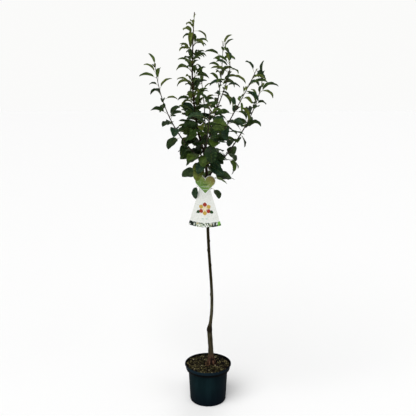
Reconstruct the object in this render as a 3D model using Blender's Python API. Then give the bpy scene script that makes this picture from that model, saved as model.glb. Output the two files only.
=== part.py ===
# Potted pear tree, about 2 m tall: a grafted young tree with a leader and seven shoots,
# in a black nursery pot, with a hanging plant label. Metres, +Z up.
# The origin is the centre of the pot's flat underside, and -Y is the side the label faces.

import math
import random
from collections import namedtuple

import bmesh
import bpy
from mathutils import Matrix, Vector
from mathutils.bvhtree import BVHTree

GAP = 0.0003                    # clearance between pieces that touch
ROUND_ANGLE = 40                # edges flatter than this are shaded smooth
CURVE_STEP = 0.01               # share of a shoot over which its direction is taken

# Pot
POT_HEIGHT = 0.209
POT_FOOT_RADIUS = 0.0985
POT_NECK_RADIUS = 0.1075        # just under the collar
COLLAR_HEIGHT = 0.030
COLLAR_FOOT_RADIUS = 0.120
RIM_RADIUS = 0.127
RIM_LIP = 0.0025                # how far the bead stands out of the collar
POT_WALL = 0.0025
POT_FLOOR = 0.003
FOOT_ROUND = 0.008
DRAIN_HOLES = 8
DRAIN_RADIUS = 0.006
DRAIN_RING = 0.076
DRAIN_SIDES = 8
COLLAR_ROUND = 0.002            # of the collar's lower edge
RIM_BEAD = 0.005                # height of the bead
RIM_ROUND = 0.001
INNER_FOOT_ROUND = 0.0056
POT_SEGMENTS = 32
SOIL_TOP = 0.199

# Trunk: height, x and y of its centre line
TRUNK_LINE = (
    (0.199, 0.019, 0.000),
    (0.300, 0.0145, 0.001),
    (0.405, 0.010, 0.002),
    (0.490, 0.019, 0.003),
    (0.570, 0.021, 0.003),
    (0.656, 0.018, 0.002),
    (0.800, 0.008, 0.001),
    (0.920, 0.001, 0.001),
    (1.100, -0.004, 0.000),
    (1.320, -0.012, 0.000),
    (1.480, -0.051, 0.003),
    (1.690, -0.077, 0.006),
    (1.920, -0.075, 0.004),
    (2.045, -0.067, 0.000),
)
# Height and radius of the plain taper, without flare and graft
TRUNK_TAPER = (
    (0.199, 0.0190),
    (0.218, 0.0225),
    (0.238, 0.0175),
    (0.262, 0.0145),
    (0.370, 0.0133),
    (0.460, 0.0088),
    (1.250, 0.0076),
    (1.450, 0.0060),
    (1.930, 0.0029),
    (2.045, 0.0012),
)
TRUNK_TOP = 1.930               # the top foliage goes on from here
TREE_TIP = 2.045
ROOT_FLARE = 0.0040
ROOT_FLARE_FADE = 0.014
ROOT_LOBES = 3
ROOT_LOBE_DEPTH = 0.3           # share of the flare
ROOT_LOBE_TURN = 0.6
GRAFT_HEIGHT = 0.408
GRAFT_BULGE = 0.0032
GRAFT_SPREAD = 0.017
GRAFT_LEAN = 0.6                # how much more it bulges on its left than on its right
TRUNK_SIDES = 10
RING_STEP = 0.045
FINE_RING_STEP = 0.012          # near the foot and the graft
FINE_REACH = 0.05

# Shoots: each is one quadratic curve from its carrier past an elbow to its tip.
# "bare" is the share of the curve that is bough, before its foliage begins, and "leafy" the
# share where its leaves end. The seeds are for its leaves from the lowest up, each for an even share.
Shoot = namedtuple("Shoot", "carrier start elbow tip bare leafy radius leaves turn seeds")
SHOOTS = {
    "left": Shoot(
        "trunk", 1.312, (-0.223, -0.050, 1.483), (-0.257, -0.078, 1.789),
        0.24, 1, 0.0036, 23, 2.6, (1362, 1372, 5224, 572, 4653, 156)),
    "middle": Shoot(
        "trunk", 1.369, (0.072, 0.060, 1.607), (0.077, 0.100, 1.916),
        0.46, 1, 0.0036, 24, 0.4, (548, 2380, 5078, 2430)),
    "fork": Shoot(
        "middle", 0.40, (0.120, 0.020, 1.771), (0.109, -0.010, 1.808),
        0.16, 1, 0.0026, 18, 1.2, (2815, 4982, 418)),
    "inner_right": Shoot(
        "trunk", 1.328, (0.123, -0.090, 1.544), (0.226, -0.170, 1.764),
        0.24, 1, 0.0034, 25, 0.0, (2792, 1626, 3934, 1455)),
    "outer_right": Shoot(
        "trunk", 1.235, (0.253, 0.070, 1.509), (0.290, 0.140, 1.757),
        0.26, 1, 0.0038, 31, 5.2, (4569, 302, 325, 510)),
    "front": Shoot(
        "trunk", 1.340, (0.000, -0.150, 1.470), (0.010, -0.215, 1.600),
        0.28, 1, 0.0032, 11, 3.3, (100, 3214)),
    "back": Shoot(
        "trunk", 1.360, (-0.005, 0.180, 1.570), (-0.044, 0.270, 1.786),
        0.24, 1, 0.0034, 24, 4.1, (4012, 4692, 4925)),
}
LEAFY_SPAN = (0.03, 0.985)      # where leaves stand between "bare" and "leafy"
SHOOT_TIP_RADIUS = 0.0013
SHOOT_SIDES = 5
SHOOT_RINGS = 16                # over a whole shoot
BOUGH_CLEAR = 0.03              # share of a shoot after which it is out of its carrier
STEM_ANGLES = (62, 30)          # degrees between stem and leaf, low on the shoot and at its tip
STEM_ANGLE_VARIES = 22
LEAF_TURN_VARIES = 1.4
TIP_LIFT = 50                   # how much the last leaves stand up, as a negative hang

# Spurs: short stems with a cluster of leaves, on the trunk or on a bough.
# Place is a height on the trunk, or a share of a shoot; azimuth 0 is +X and 270 faces -Y.
Spur = namedtuple("Spur", "carrier place azimuth rise length leaves scale hang seed")
SPURS = {
    "low_left": Spur("trunk", 1.238, 188, 15, 0.030, 3, 1.00, 25, 409),
    "low_right": Spur("trunk", 1.225, 354, 10, 0.034, 4, 1.10, 15, 1641),
    "low_front": Spur("trunk", 1.285, 258, 25, 0.024, 4, 0.95, 15, 1179),
    "low_back": Spur("trunk", 1.250, 80, 20, 0.030, 5, 1.00, 20, 1376),
    "mid_left": Spur("trunk", 1.345, 215, 20, 0.030, 4, 1.05, 25, 712),
    "mid_front": Spur("trunk", 1.308, 290, 25, 0.024, 4, 1.00, 15, 1699),
    "mid_back": Spur("trunk", 1.325, 130, 25, 0.028, 5, 1.00, 15, 92),
    "high_front": Spur("trunk", 1.395, 250, 30, 0.024, 5, 0.95, 5, 1188),
    "high_left": Spur("trunk", 1.420, 182, 25, 0.045, 5, 1.00, 10, 797),
    "high_right": Spur("trunk", 1.300, 20, 30, 0.030, 4, 1.00, 5, 939),
    "hanging_left": Spur("trunk", 1.194, 168, 0, 0.040, 1, 0.90, 62, 226),
    "hanging_right": Spur("trunk", 1.172, 15, 15, 0.024, 1, 0.82, 45, 355),
    "side_left": Spur("trunk", 1.535, 188, 25, 0.070, 4, 0.80, 5, 1090),
    "on_middle_low": Spur("middle", 0.17, 20, 35, 0.022, 4, 0.95, 0, 1170),
    "on_middle_mid": Spur("middle", 0.25, 250, 35, 0.022, 4, 0.95, 0, 1119),
    "on_middle_high": Spur("middle", 0.34, 120, 35, 0.020, 4, 0.90, 0, 1144),
    "on_inner_right": Spur("inner_right", 0.17, 300, 30, 0.022, 4, 0.95, 5, 221),
    "on_left": Spur("left", 0.16, 120, 30, 0.020, 3, 0.95, 5, 1002),
    "on_outer_low": Spur("outer_right", 0.17, 350, 0, 0.028, 3, 0.95, 50, 750),
    "on_outer_high": Spur("outer_right", 0.20, 110, 30, 0.022, 4, 0.95, 10, 721),
}
SPUR_RADIUS = 0.0026
SPUR_TIP_RADIUS = 0.0018
SPUR_SIDES = 4
SPUR_ROOTS = (0.96, 0.72)       # shares of a spur where its middle and its outer leaves stand
SPUR_FAN = 150                  # degrees
SPUR_FAN_VARIES = 25
SPUR_LEAF_RISE = 12
SPUR_RISE_VARIES = (-18, 28)
LEADER_SPURS = 15               # they wind up the leader
LEADER_SPUR_LOW = 1.450
LEADER_SPUR_HIGH = 1.895
LEADER_SPUR_LEAVES = 6
LEADER_SPUR_LENGTH = 0.018
LEADER_SPUR_SCALES = (1.05, 0.85)
LEADER_SPUR_TURN = 200
LEADER_SPUR_RISE = 38
LEADER_SPUR_SEEDS = (1376, 789, 1007, 812, 728, 1045, 268, 1658, 701, 198, 707, 1339, 994, 1382, 1662)
TOP_LEAVES = 8
TOP_LEAFY = 0.55                # the young end above stays bare
TOP_TURN = 1.0
TOP_SEEDS = (544, 1725)
SEED_STEP = 100                 # each leaf of a mass draws its own numbers

# Leaves: broad and drooping low in the crown, folded and arching high in it
BROAD_BELOW = 1.43
NARROW_ABOVE = 1.62
LEAF_LENGTH = (0.084, 0.068)    # low, high
LEAF_HALF_WIDTH = (0.355, 0.225) # share of its length
LEAF_FOLD = (10, 42)            # degrees that each half stands up
LEAF_THICKNESS = 0.0012
PETIOLE_LENGTH = (0.028, 0.022)
PETIOLE_RADIUS = 0.0009
STALK_FOLD = math.radians(30)   # makes a stalk's section an even triangle
BASE_LIFT = (-20, -10)          # from the petiole's foot to the blade's base, degrees
BLADE_TURN = (-40, -52)         # from the blade's base to its tip
ROLL = (60, 35)
LENGTH_VARIES = (0.78, 1.14)
WIDTH_VARIES = (0.80, 1.12)
PETIOLE_VARIES = (0.8, 1.25)
FOLD_VARIES = 6
BASE_VARIES = (-18, 14)
BLADE_VARIES = 24
HANG_ON_STALK = 0.4             # shares of a spur's hang that its leaves' parts take
HANG_AT_BASE = 0.6
HANG_ON_BLADE = 0.3
BLADE_STATIONS = (0.27, 0.63)   # two shares of the blade, with its width there
BLADE_WIDTHS = (0.97, 0.84)
GOLDEN_TURN = 2.39996
TRIES = 12
CLEARANCE = 0.002               # kept round each leaf

# Label: a heart tag over a card cut as a sector of a disc, held by a band round the trunk
LABEL_X = -0.016
LABEL_TURN = -10                # degrees round the trunk, to face a little to the left
CARD_APEX = 1.273
CARD_RADIUS = 0.299
CARD_TOP_RADIUS = 0.062
CARD_HALF_ANGLE = 17.0
CARD_THICKNESS = 0.001
CARD_ARC_STEPS = 10
HEART_X = -0.0125
HEART_TIP = 1.148
HEART_LOBE_RADIUS = 0.0283
HEART_LOBE_X = 0.0258
HEART_LOBE_Z = 0.0722
HEART_ARC_STEPS = 9
BAND_HEIGHT = 0.008
BAND_PLACE = 1.200
BAND_THICKNESS = 0.001
BAND_SIDES = 10

Leaf = namedtuple("Leaf", "root heading rises petiole length half_width fold roll")
Solid = namedtuple("Solid", "tree centre reach")
Mass = namedtuple("Mass", "name stem carrier draw count seeds")


def clear_scene():
    for thing in list(bpy.data.objects):
        bpy.data.objects.remove(thing, do_unlink=True)


def material(name, colour, roughness, metallic=0.0):
    made = bpy.data.materials.new(name)
    made.use_nodes = True
    shader = made.node_tree.nodes["Principled BSDF"]
    shader.inputs["Base Color"].default_value = (*colour, 1.0)
    shader.inputs["Roughness"].default_value = roughness
    shader.inputs["Metallic"].default_value = metallic
    return made


def add_object(name, verts, faces, look=None, smooth_angle=None):
    mesh = bpy.data.meshes.new(name)
    mesh.from_pydata([tuple(v) for v in verts], [], faces)
    work = bmesh.new()
    work.from_mesh(mesh)
    bmesh.ops.recalc_face_normals(work, faces=work.faces)
    work.to_mesh(mesh)
    work.free()
    if look:
        mesh.materials.append(look)
    if smooth_angle:
        mesh.shade_smooth()
        mesh.set_sharp_from_angle(angle=math.radians(smooth_angle))
    made = bpy.data.objects.new(name, mesh)
    bpy.context.scene.collection.objects.link(made)
    return made


def is_closed(mesh):
    work = bmesh.new()
    work.from_mesh(mesh)
    closed = len(work.faces) > 0 and all(len(edge.link_faces) == 2 for edge in work.edges)
    work.free()
    return closed


def combine(target, tools, operation):
    """Boolean of the target with a list of objects, applied; the tool objects are removed."""
    group = bpy.data.collections.new("tools")
    bpy.context.scene.collection.children.link(group)
    for tool in tools:
        bpy.context.scene.collection.objects.unlink(tool)
        group.objects.link(tool)
    for solver in ("EXACT", "MANIFOLD"):
        step = target.modifiers.new("combine", "BOOLEAN")
        step.operation = operation
        step.operand_type = "COLLECTION"
        step.collection = group
        step.solver = solver
        shape = target.evaluated_get(bpy.context.evaluated_depsgraph_get())
        mesh = bpy.data.meshes.new_from_object(shape)
        target.modifiers.clear()
        if is_closed(mesh):
            break
    old = target.data
    target.data = mesh
    bpy.data.meshes.remove(old)
    for tool in tools:
        bpy.data.objects.remove(tool, do_unlink=True)
    bpy.data.collections.remove(group)


def mix(pair, share):
    return pair[0] + (pair[1] - pair[0]) * share


def smooth_table(rows, at, column):
    """Value of a column at a height, on a smooth curve through the rows of a table."""
    last = len(rows) - 1
    row = 0
    while row < last - 1 and at > rows[row + 1][0]:
        row += 1

    def slope(i):
        low, high = rows[max(i - 1, 0)], rows[min(i + 1, last)]
        return (high[column] - low[column]) / (high[0] - low[0])

    span = rows[row + 1][0] - rows[row][0]
    t = (at - rows[row][0]) / span
    return (
        rows[row][column] * (1 + 2 * t) * (1 - t) ** 2
        + slope(row) * span * t * (1 - t) ** 2
        + rows[row + 1][column] * t * t * (3 - 2 * t)
        - slope(row + 1) * span * t * t * (1 - t)
    )


def turned(profile, segments):
    """Closed solid turned round +Z from (radius, height) points; radius 0 is a pole."""
    verts, rows = [], []
    for radius, height in profile:
        if radius == 0:
            rows.append([len(verts)] * segments)
            verts.append((0, 0, height))
            continue
        rows.append([len(verts) + i for i in range(segments)])
        for i in range(segments):
            angle = 2 * math.pi * i / segments
            verts.append((radius * math.cos(angle), radius * math.sin(angle), height))
    faces = []
    for low, high in zip(rows, rows[1:]):
        for i in range(segments):
            k = (i + 1) % segments
            corners = [low[i], low[k], high[k], high[i]]
            faces.append(list(dict.fromkeys(corners)))
    return verts, faces


def tube(points, radii, sides):
    """Closed tube with flat ends, its rings square to a route of points."""
    verts, faces = [], []
    side = None
    for i, point in enumerate(points):
        ahead = points[min(i + 1, len(points) - 1)] - points[max(i - 1, 0)]
        ahead.normalize()
        guide = side if side else Vector((1, 0, 0))
        side = (guide - ahead * guide.dot(ahead)).normalized()
        other = ahead.cross(side)
        for k in range(sides):
            angle = 2 * math.pi * k / sides
            verts.append(point + (side * math.cos(angle) + other * math.sin(angle)) * radii[i])
    for i in range(len(points) - 1):
        for k in range(sides):
            n = (k + 1) % sides
            faces.append([i * sides + k, i * sides + n, (i + 1) * sides + n, (i + 1) * sides + k])
    faces.append(list(range(sides))[::-1])
    faces.append([(len(points) - 1) * sides + k for k in range(sides)])
    return verts, faces


def prism(outline, back, thickness):
    """Flat plate from an outline of (x, z) points, standing in front of the plane y = back."""
    count = len(outline)
    verts = [(x, back, z) for x, z in outline] + [(x, back - thickness, z) for x, z in outline]
    faces = [list(range(count)), [count + i for i in range(count)][::-1]]
    for i in range(count):
        k = (i + 1) % count
        faces.append([i, k, count + k, count + i])
    return verts, faces


def as_solid(verts, faces):
    """A shape with its search tree and a ball round it, for the clearance tests."""
    spots = [Vector(v) for v in verts]
    centre = sum(spots, Vector()) / len(spots)
    reach = max((spot - centre).length for spot in spots)
    return Solid(BVHTree.FromPolygons(spots, faces), centre, reach)


def touch(one, other):
    if (one.centre - other.centre).length > one.reach + other.reach:
        return False
    return bool(one.tree.overlap(other.tree))


def make_pot(look):
    step = POT_HEIGHT - COLLAR_HEIGHT
    foot = [
        (
            POT_FOOT_RADIUS - FOOT_ROUND * (1 - math.sin(math.radians(angle))),
            FOOT_ROUND * (1 - math.cos(math.radians(angle))),
        )
        for angle in (0, 30, 60, 90)
    ]
    outer = [
        (POT_NECK_RADIUS, step),
        (COLLAR_FOOT_RADIUS - COLLAR_ROUND, step),
        (COLLAR_FOOT_RADIUS, step + COLLAR_ROUND),
        (RIM_RADIUS - RIM_LIP, POT_HEIGHT - RIM_BEAD - RIM_ROUND),
        (RIM_RADIUS, POT_HEIGHT - RIM_BEAD),
        (RIM_RADIUS, POT_HEIGHT - RIM_ROUND),
        (RIM_RADIUS - RIM_ROUND, POT_HEIGHT),
        (RIM_RADIUS - RIM_LIP - POT_WALL, POT_HEIGHT),
    ]
    profile = [(0, 0)] + foot + outer + inner_profile(0)
    pot = add_object("pot", *turned(profile, POT_SEGMENTS), look, ROUND_ANGLE)
    drills = []
    for i in range(DRAIN_HOLES):
        angle = 2 * math.pi * i / DRAIN_HOLES
        middle = Vector((DRAIN_RING * math.cos(angle), DRAIN_RING * math.sin(angle), 0))
        ends = [middle - Vector((0, 0, POT_FLOOR)), middle + Vector((0, 0, 2 * POT_FLOOR))]
        drills.append(add_object("drill", *tube(ends, [DRAIN_RADIUS] * 2, DRAIN_SIDES)))
    combine(pot, drills, "DIFFERENCE")


def inner_profile(clear):
    """The pot's inside from the collar down to the floor's centre, pulled in by a clearance."""
    step = POT_HEIGHT - COLLAR_HEIGHT
    slope = (RIM_RADIUS - RIM_LIP - COLLAR_FOOT_RADIUS) / COLLAR_HEIGHT
    return [
        (COLLAR_FOOT_RADIUS - POT_WALL - clear + slope * POT_WALL, step + POT_WALL + clear),
        (POT_NECK_RADIUS - POT_WALL - clear, step + POT_WALL + clear),
        (POT_FOOT_RADIUS - POT_WALL - clear, FOOT_ROUND),
        (POT_FOOT_RADIUS - POT_WALL - INNER_FOOT_ROUND - clear, POT_FLOOR + clear),
        (0, POT_FLOOR + clear),
    ]


def make_soil(look):
    inside = inner_profile(GAP)
    slope = (RIM_RADIUS - RIM_LIP - COLLAR_FOOT_RADIUS) / COLLAR_HEIGHT
    top_radius = inside[0][0] + slope * (SOIL_TOP - inside[0][1])
    profile = [(0, SOIL_TOP), (top_radius, SOIL_TOP)] + inside
    add_object("soil", *turned(profile, POT_SEGMENTS), look, ROUND_ANGLE)


def trunk_centre(height):
    return Vector((smooth_table(TRUNK_LINE, height, 1), smooth_table(TRUNK_LINE, height, 2), height))


def trunk_radius(height, angle):
    flare = ROOT_FLARE * math.exp(-(height - SOIL_TOP) / ROOT_FLARE_FADE)
    lobes = 1 + ROOT_LOBE_DEPTH * math.cos(ROOT_LOBES * angle + ROOT_LOBE_TURN)
    bulge = GRAFT_BULGE * math.exp(-(((height - GRAFT_HEIGHT) / GRAFT_SPREAD) ** 2))
    leftward = 1 - GRAFT_LEAN * math.cos(angle)
    return smooth_table(TRUNK_TAPER, height, 1) + flare * lobes + bulge * leftward


def trunk_shape(extra=0.0):
    """The whole trunk, cut flat on the soil, with its surface moved out by extra."""
    heights = [SOIL_TOP + GAP]
    while heights[-1] < TRUNK_TOP:
        low = heights[-1]
        near = low - SOIL_TOP < FINE_REACH or abs(low - GRAFT_HEIGHT) < FINE_REACH
        heights.append(min(low + (FINE_RING_STEP if near else RING_STEP), TRUNK_TOP))
    verts, faces = [], []
    for height in heights:
        middle = trunk_centre(height)
        for k in range(TRUNK_SIDES):
            angle = 2 * math.pi * k / TRUNK_SIDES
            radius = trunk_radius(height, angle) + extra
            verts.append(middle + Vector((math.cos(angle), math.sin(angle), 0)) * radius)
    for i in range(len(heights) - 1):
        for k in range(TRUNK_SIDES):
            n = (k + 1) % TRUNK_SIDES
            base, over = i * TRUNK_SIDES, (i + 1) * TRUNK_SIDES
            faces.append([base + k, base + n, over + n, over + k])
    faces.append(list(range(TRUNK_SIDES))[::-1])
    faces.append([(len(heights) - 1) * TRUNK_SIDES + k for k in range(TRUNK_SIDES)])
    return verts, faces


def carrier_point(carrier, place):
    """The centre of the trunk at a height, or of a shoot at a share of its curve."""
    if carrier == "trunk":
        return trunk_centre(place)
    return shoot_point(SHOOTS[carrier], place)


def shoot_point(shoot, t):
    start = carrier_point(shoot.carrier, shoot.start)
    return start * (1 - t) ** 2 + Vector(shoot.elbow) * 2 * t * (1 - t) + Vector(shoot.tip) * t * t


def shoot_shape(shoot, low, high, extra=0.0):
    """The stretch of a shoot between two shares of its curve."""
    count = max(3, round(SHOOT_RINGS * (high - low)))
    shares = [low + (high - low) * i / count for i in range(count + 1)]
    radii = [mix((shoot.radius, SHOOT_TIP_RADIUS), t) + extra for t in shares]
    return tube([shoot_point(shoot, t) for t in shares], radii, SHOOT_SIDES)


def carrier_shape(name, extra):
    if name == "trunk":
        return trunk_shape(extra)
    return shoot_shape(SHOOTS[name], 0.0, SHOOTS[name].bare, extra)


def seat(piece, carrier):
    """Cuts a limb's foot to sit on its carrier's surface, the gap clear of it."""
    combine(piece, [add_object("cutter", *carrier_shape(carrier, GAP))], "DIFFERENCE")


def arc(start, heading, rise, turn, length, share):
    """Point and rise at a share of an arc that bends evenly in the heading's upright plane."""
    there = rise + turn * share
    radius = length / turn
    out = radius * (math.sin(there) - math.sin(rise))
    up = radius * (math.cos(rise) - math.cos(there))
    flat = Vector((math.cos(heading), math.sin(heading), 0))
    return start + flat * out + Vector((0, 0, up)), there


def leaf_ring(point, heading, rise, roll, half_width, fold, thickness):
    """Four corners across a leaf: left edge, top, right edge, underside."""
    ahead = Vector((math.cos(rise) * math.cos(heading), math.cos(rise) * math.sin(heading), math.sin(rise)))
    flat = Vector((-math.sin(heading), math.cos(heading), 0))
    above = ahead.cross(flat)
    side = flat * math.cos(roll) + above * math.sin(roll)
    over = above * math.cos(roll) - flat * math.sin(roll)
    reach = side * half_width * math.cos(fold)
    lift = over * half_width * math.sin(fold)
    half = over * thickness / 2
    return [point + reach + lift, point + half, point - reach + lift, point - half]


def stalk_ring(point, heading, rise, roll, radius):
    """Three corners across a stalk: left, right, underside."""
    left, _, right, under = leaf_ring(point, heading, rise, roll, radius, STALK_FOLD, 2 * radius)
    return [left, right, under]


def leaf_shape(leaf, grow=0.0, blade_only=False):
    """A leaf as one closed solid: three-sided stalk, folded arching blade and tip."""
    rise, base_turn, blade_turn = leaf.rises
    foot = PETIOLE_RADIUS + grow
    base, base_rise = arc(leaf.root, leaf.heading, rise, base_turn, leaf.petiole, 1.0)
    verts = stalk_ring(base, leaf.heading, base_rise, leaf.roll, foot)
    faces = []
    if not blade_only:
        verts = stalk_ring(leaf.root, leaf.heading, rise, 0, foot) + verts
        for k in range(3):
            n = (k + 1) % 3
            faces += [[k, n + 3, n], [k, k + 3, n + 3]]
    faces.append([0, 1, 2])
    left, right, under = range(len(verts) - 3, len(verts))
    first = len(verts)
    edge, top, far_edge, below = range(first, first + 4)
    faces += [
        [left, edge, top], [left, top, right], [right, top, far_edge], [right, far_edge, under],
        [under, far_edge, below], [under, below, edge], [under, edge, left],
    ]
    for share, width in zip(BLADE_STATIONS, BLADE_WIDTHS):
        point, there = arc(base, leaf.heading, base_rise, blade_turn, leaf.length, share)
        half_width = leaf.half_width * width + grow
        thickness = LEAF_THICKNESS + 2 * grow
        verts += leaf_ring(point, leaf.heading, there, leaf.roll, half_width, leaf.fold, thickness)
    tip, _ = arc(base, leaf.heading, base_rise, blade_turn, leaf.length + grow, 1.0)
    verts.append(tip)
    end = len(verts) - 1
    for k in range(4):
        n = (k + 1) % 4
        faces += [[first + k, first + 4 + n, first + n], [first + k, first + 4 + k, first + 4 + n]]
        faces.append([first + 4 + k, end, first + 4 + n])
    return verts, faces


def leaf_form(root, heading, rise, scale, hang, rng):
    """Size and bearing of a leaf by its height in the crown."""
    high = min(max((root.z - BROAD_BELOW) / (NARROW_ABOVE - BROAD_BELOW), 0), 1)
    length = mix(LEAF_LENGTH, high) * scale * rng.uniform(*LENGTH_VARIES)
    half_width = mix(LEAF_HALF_WIDTH, high) * length * rng.uniform(*WIDTH_VARIES)
    petiole = mix(PETIOLE_LENGTH, high) * scale * rng.uniform(*PETIOLE_VARIES)
    fold = mix(LEAF_FOLD, high) + rng.uniform(-FOLD_VARIES, FOLD_VARIES)
    base_turn = mix(BASE_LIFT, high) - hang * HANG_AT_BASE + rng.uniform(*BASE_VARIES)
    blade_varies = rng.uniform(-BLADE_VARIES, BLADE_VARIES)
    blade_turn = mix(BLADE_TURN, high) - hang * HANG_ON_BLADE + blade_varies
    roll = mix(ROLL, high) * rng.uniform(-1, 1)
    rises = (rise, math.radians(base_turn), math.radians(blade_turn))
    return Leaf(root, heading, rises, petiole, length, half_width, math.radians(fold), math.radians(roll))


def shoot_leaf(shoot, low, number, rng):
    """The next leaf of a shoot, wound round its stem; the last ones stand up at its tip."""
    share = (number + 0.5) / shoot.leaves
    t = mix((low, shoot.leafy), mix(LEAFY_SPAN, share))
    root = shoot_point(shoot, t)
    ahead = min(t + CURVE_STEP, 1)
    stem = (shoot_point(shoot, ahead) - shoot_point(shoot, ahead - 2 * CURVE_STEP)).normalized()
    across = stem.cross(Vector((1, 0, 0))).normalized()
    beside = stem.cross(across)
    turn = shoot.turn + number * GOLDEN_TURN + rng.uniform(-LEAF_TURN_VARIES, LEAF_TURN_VARIES)
    varies = rng.uniform(-STEM_ANGLE_VARIES, STEM_ANGLE_VARIES)
    spread = math.radians(mix(STEM_ANGLES, share ** 4) + varies)
    away = across * math.cos(turn) + beside * math.sin(turn)
    out = stem * math.cos(spread) + away * math.sin(spread)
    heading = math.atan2(out.y, out.x)
    rise = math.asin(max(-1, min(1, out.z)))
    return leaf_form(root, heading, rise, 1.0, -TIP_LIFT * share ** 8, rng)


def spur_point(spur, share):
    start = carrier_point(spur.carrier, spur.place)
    azimuth, rise = math.radians(spur.azimuth), math.radians(spur.rise)
    ahead = Vector((math.cos(rise) * math.cos(azimuth), math.cos(rise) * math.sin(azimuth), math.sin(rise)))
    return start + ahead * spur.length * share


def spur_leaf(spur, number, rng):
    """The next leaf of a spur's fan."""
    share = (number + 0.5) / spur.leaves
    root = spur_point(spur, mix(SPUR_ROOTS, abs(2 * share - 1)))
    fan = (share - 0.5) * SPUR_FAN + rng.uniform(-SPUR_FAN_VARIES, SPUR_FAN_VARIES)
    rise = spur.rise + SPUR_LEAF_RISE - spur.hang * HANG_ON_STALK + rng.uniform(*SPUR_RISE_VARIES)
    heading = math.radians(spur.azimuth + fan)
    return leaf_form(root, heading, math.radians(rise), spur.scale, spur.hang, rng)


def spur_shape(spur):
    return tube([spur_point(spur, 0), spur_point(spur, 1)], [SPUR_RADIUS, SPUR_TIP_RADIUS], SPUR_SIDES)


def leader_spurs():
    """Spurs that wind up the leader, as rows like those of SPURS."""
    rows = {}
    for i in range(LEADER_SPURS):
        share = i / (LEADER_SPURS - 1)
        height = mix((LEADER_SPUR_LOW, LEADER_SPUR_HIGH), share)
        azimuth = LEADER_SPUR_TURN + i * math.degrees(GOLDEN_TURN)
        rows["leader_%02d" % (i + 1)] = Spur(
            "trunk", height, azimuth, LEADER_SPUR_RISE, LEADER_SPUR_LENGTH,
            LEADER_SPUR_LEAVES, mix(LEADER_SPUR_SCALES, share), 0, LEADER_SPUR_SEEDS[i],
        )
    return rows


def top_shoot():
    """The last stretch of the leader, as a shoot whose foliage begins at its foot."""
    foot, tip = trunk_centre(TRUNK_TOP), trunk_centre(TREE_TIP)
    middle = trunk_centre((TRUNK_TOP + TREE_TIP) / 2) * 2 - (foot + tip) / 2
    radius = smooth_table(TRUNK_TAPER, TRUNK_TOP, 1)
    return Shoot("trunk", TRUNK_TOP, middle, tip, 0.0, TOP_LEAFY, radius, TOP_LEAVES, TOP_TURN, TOP_SEEDS)


def grow_leaves(mass, limbs, grown):
    """Draws each leaf up to TRIES times until one is clear of all that stands there.

    Each stretch of a stem has its own seed, and each leaf draws its own numbers from it.
    """
    name, stem = "stem_" + mass.name, as_solid(*mass.stem)
    leaves = []
    for number in range(mass.count):
        seed = mass.seeds[number * len(mass.seeds) // mass.count]
        rng = random.Random(seed * SEED_STEP + number)
        for _ in range(TRIES):
            leaf = mass.draw(number, rng)
            whole = as_solid(*leaf_shape(leaf, CLEARANCE))
            blade = as_solid(*leaf_shape(leaf, CLEARANCE, blade_only=True))
            if any(touch(whole, limb) for owner, limb in limbs if owner != name):
                continue
            if touch(blade, stem):
                continue
            if any(touch(whole, other) for owner, other, _ in grown if owner != name):
                continue
            if any(touch(blade, other) for owner, other, _ in grown if owner == name):
                continue
            if any(touch(whole, other) for owner, _, other in grown if owner == name):
                continue
            plain = as_solid(*leaf_shape(leaf))
            grown.append((name, plain, as_solid(*leaf_shape(leaf, blade_only=True))))
            leaves.append(leaf)
            break
    return leaves


def label_back():
    """The plane that the card's back stands on, in front of the band round the trunk."""
    return trunk_centre(BAND_PLACE).y - trunk_radius(BAND_PLACE, 0) - 2 * GAP - BAND_THICKNESS


def card_outline():
    points = []
    for i in range(CARD_ARC_STEPS + 1):
        angle = math.radians(mix((-CARD_HALF_ANGLE, CARD_HALF_ANGLE), i / CARD_ARC_STEPS))
        points.append((LABEL_X + CARD_RADIUS * math.sin(angle), CARD_APEX - CARD_RADIUS * math.cos(angle)))
    for half_turn in (CARD_HALF_ANGLE, 0, -CARD_HALF_ANGLE):
        angle = math.radians(half_turn)
        x, z = CARD_TOP_RADIUS * math.sin(angle), CARD_TOP_RADIUS * math.cos(angle)
        points.append((LABEL_X + x, CARD_APEX - z))
    return points


def heart_outline():
    """Two round lobes with straight sides that meet them and run to the tip."""
    far = math.hypot(HEART_LOBE_X, HEART_LOBE_Z)
    meet = math.atan2(HEART_LOBE_Z, HEART_LOBE_X) - math.pi + math.acos(HEART_LOBE_RADIUS / far)
    notch = math.acos(-HEART_LOBE_X / HEART_LOBE_RADIUS)
    half = []
    for i in range(HEART_ARC_STEPS + 1):
        angle = mix((meet, notch), i / HEART_ARC_STEPS)
        half.append((
            HEART_LOBE_X + HEART_LOBE_RADIUS * math.cos(angle),
            HEART_LOBE_Z + HEART_LOBE_RADIUS * math.sin(angle),
        ))
    half[-1] = (0.0, half[-1][1])
    mirrored = [(-x, z) for x, z in half[-2::-1]]
    return [(HEART_X + x, HEART_TIP + z) for x, z in [(0.0, 0.0)] + half + mirrored]


def label_plate(name, outline, back, look):
    """A flat plate of the label, turned round the trunk."""
    verts, faces = prism(outline, back, CARD_THICKNESS)
    middle = trunk_centre(BAND_PLACE)
    turn = Matrix.Rotation(math.radians(LABEL_TURN), 3, "Z")
    return add_object(name, [middle + turn @ (Vector(v) - middle) for v in verts], faces, look)


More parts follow.
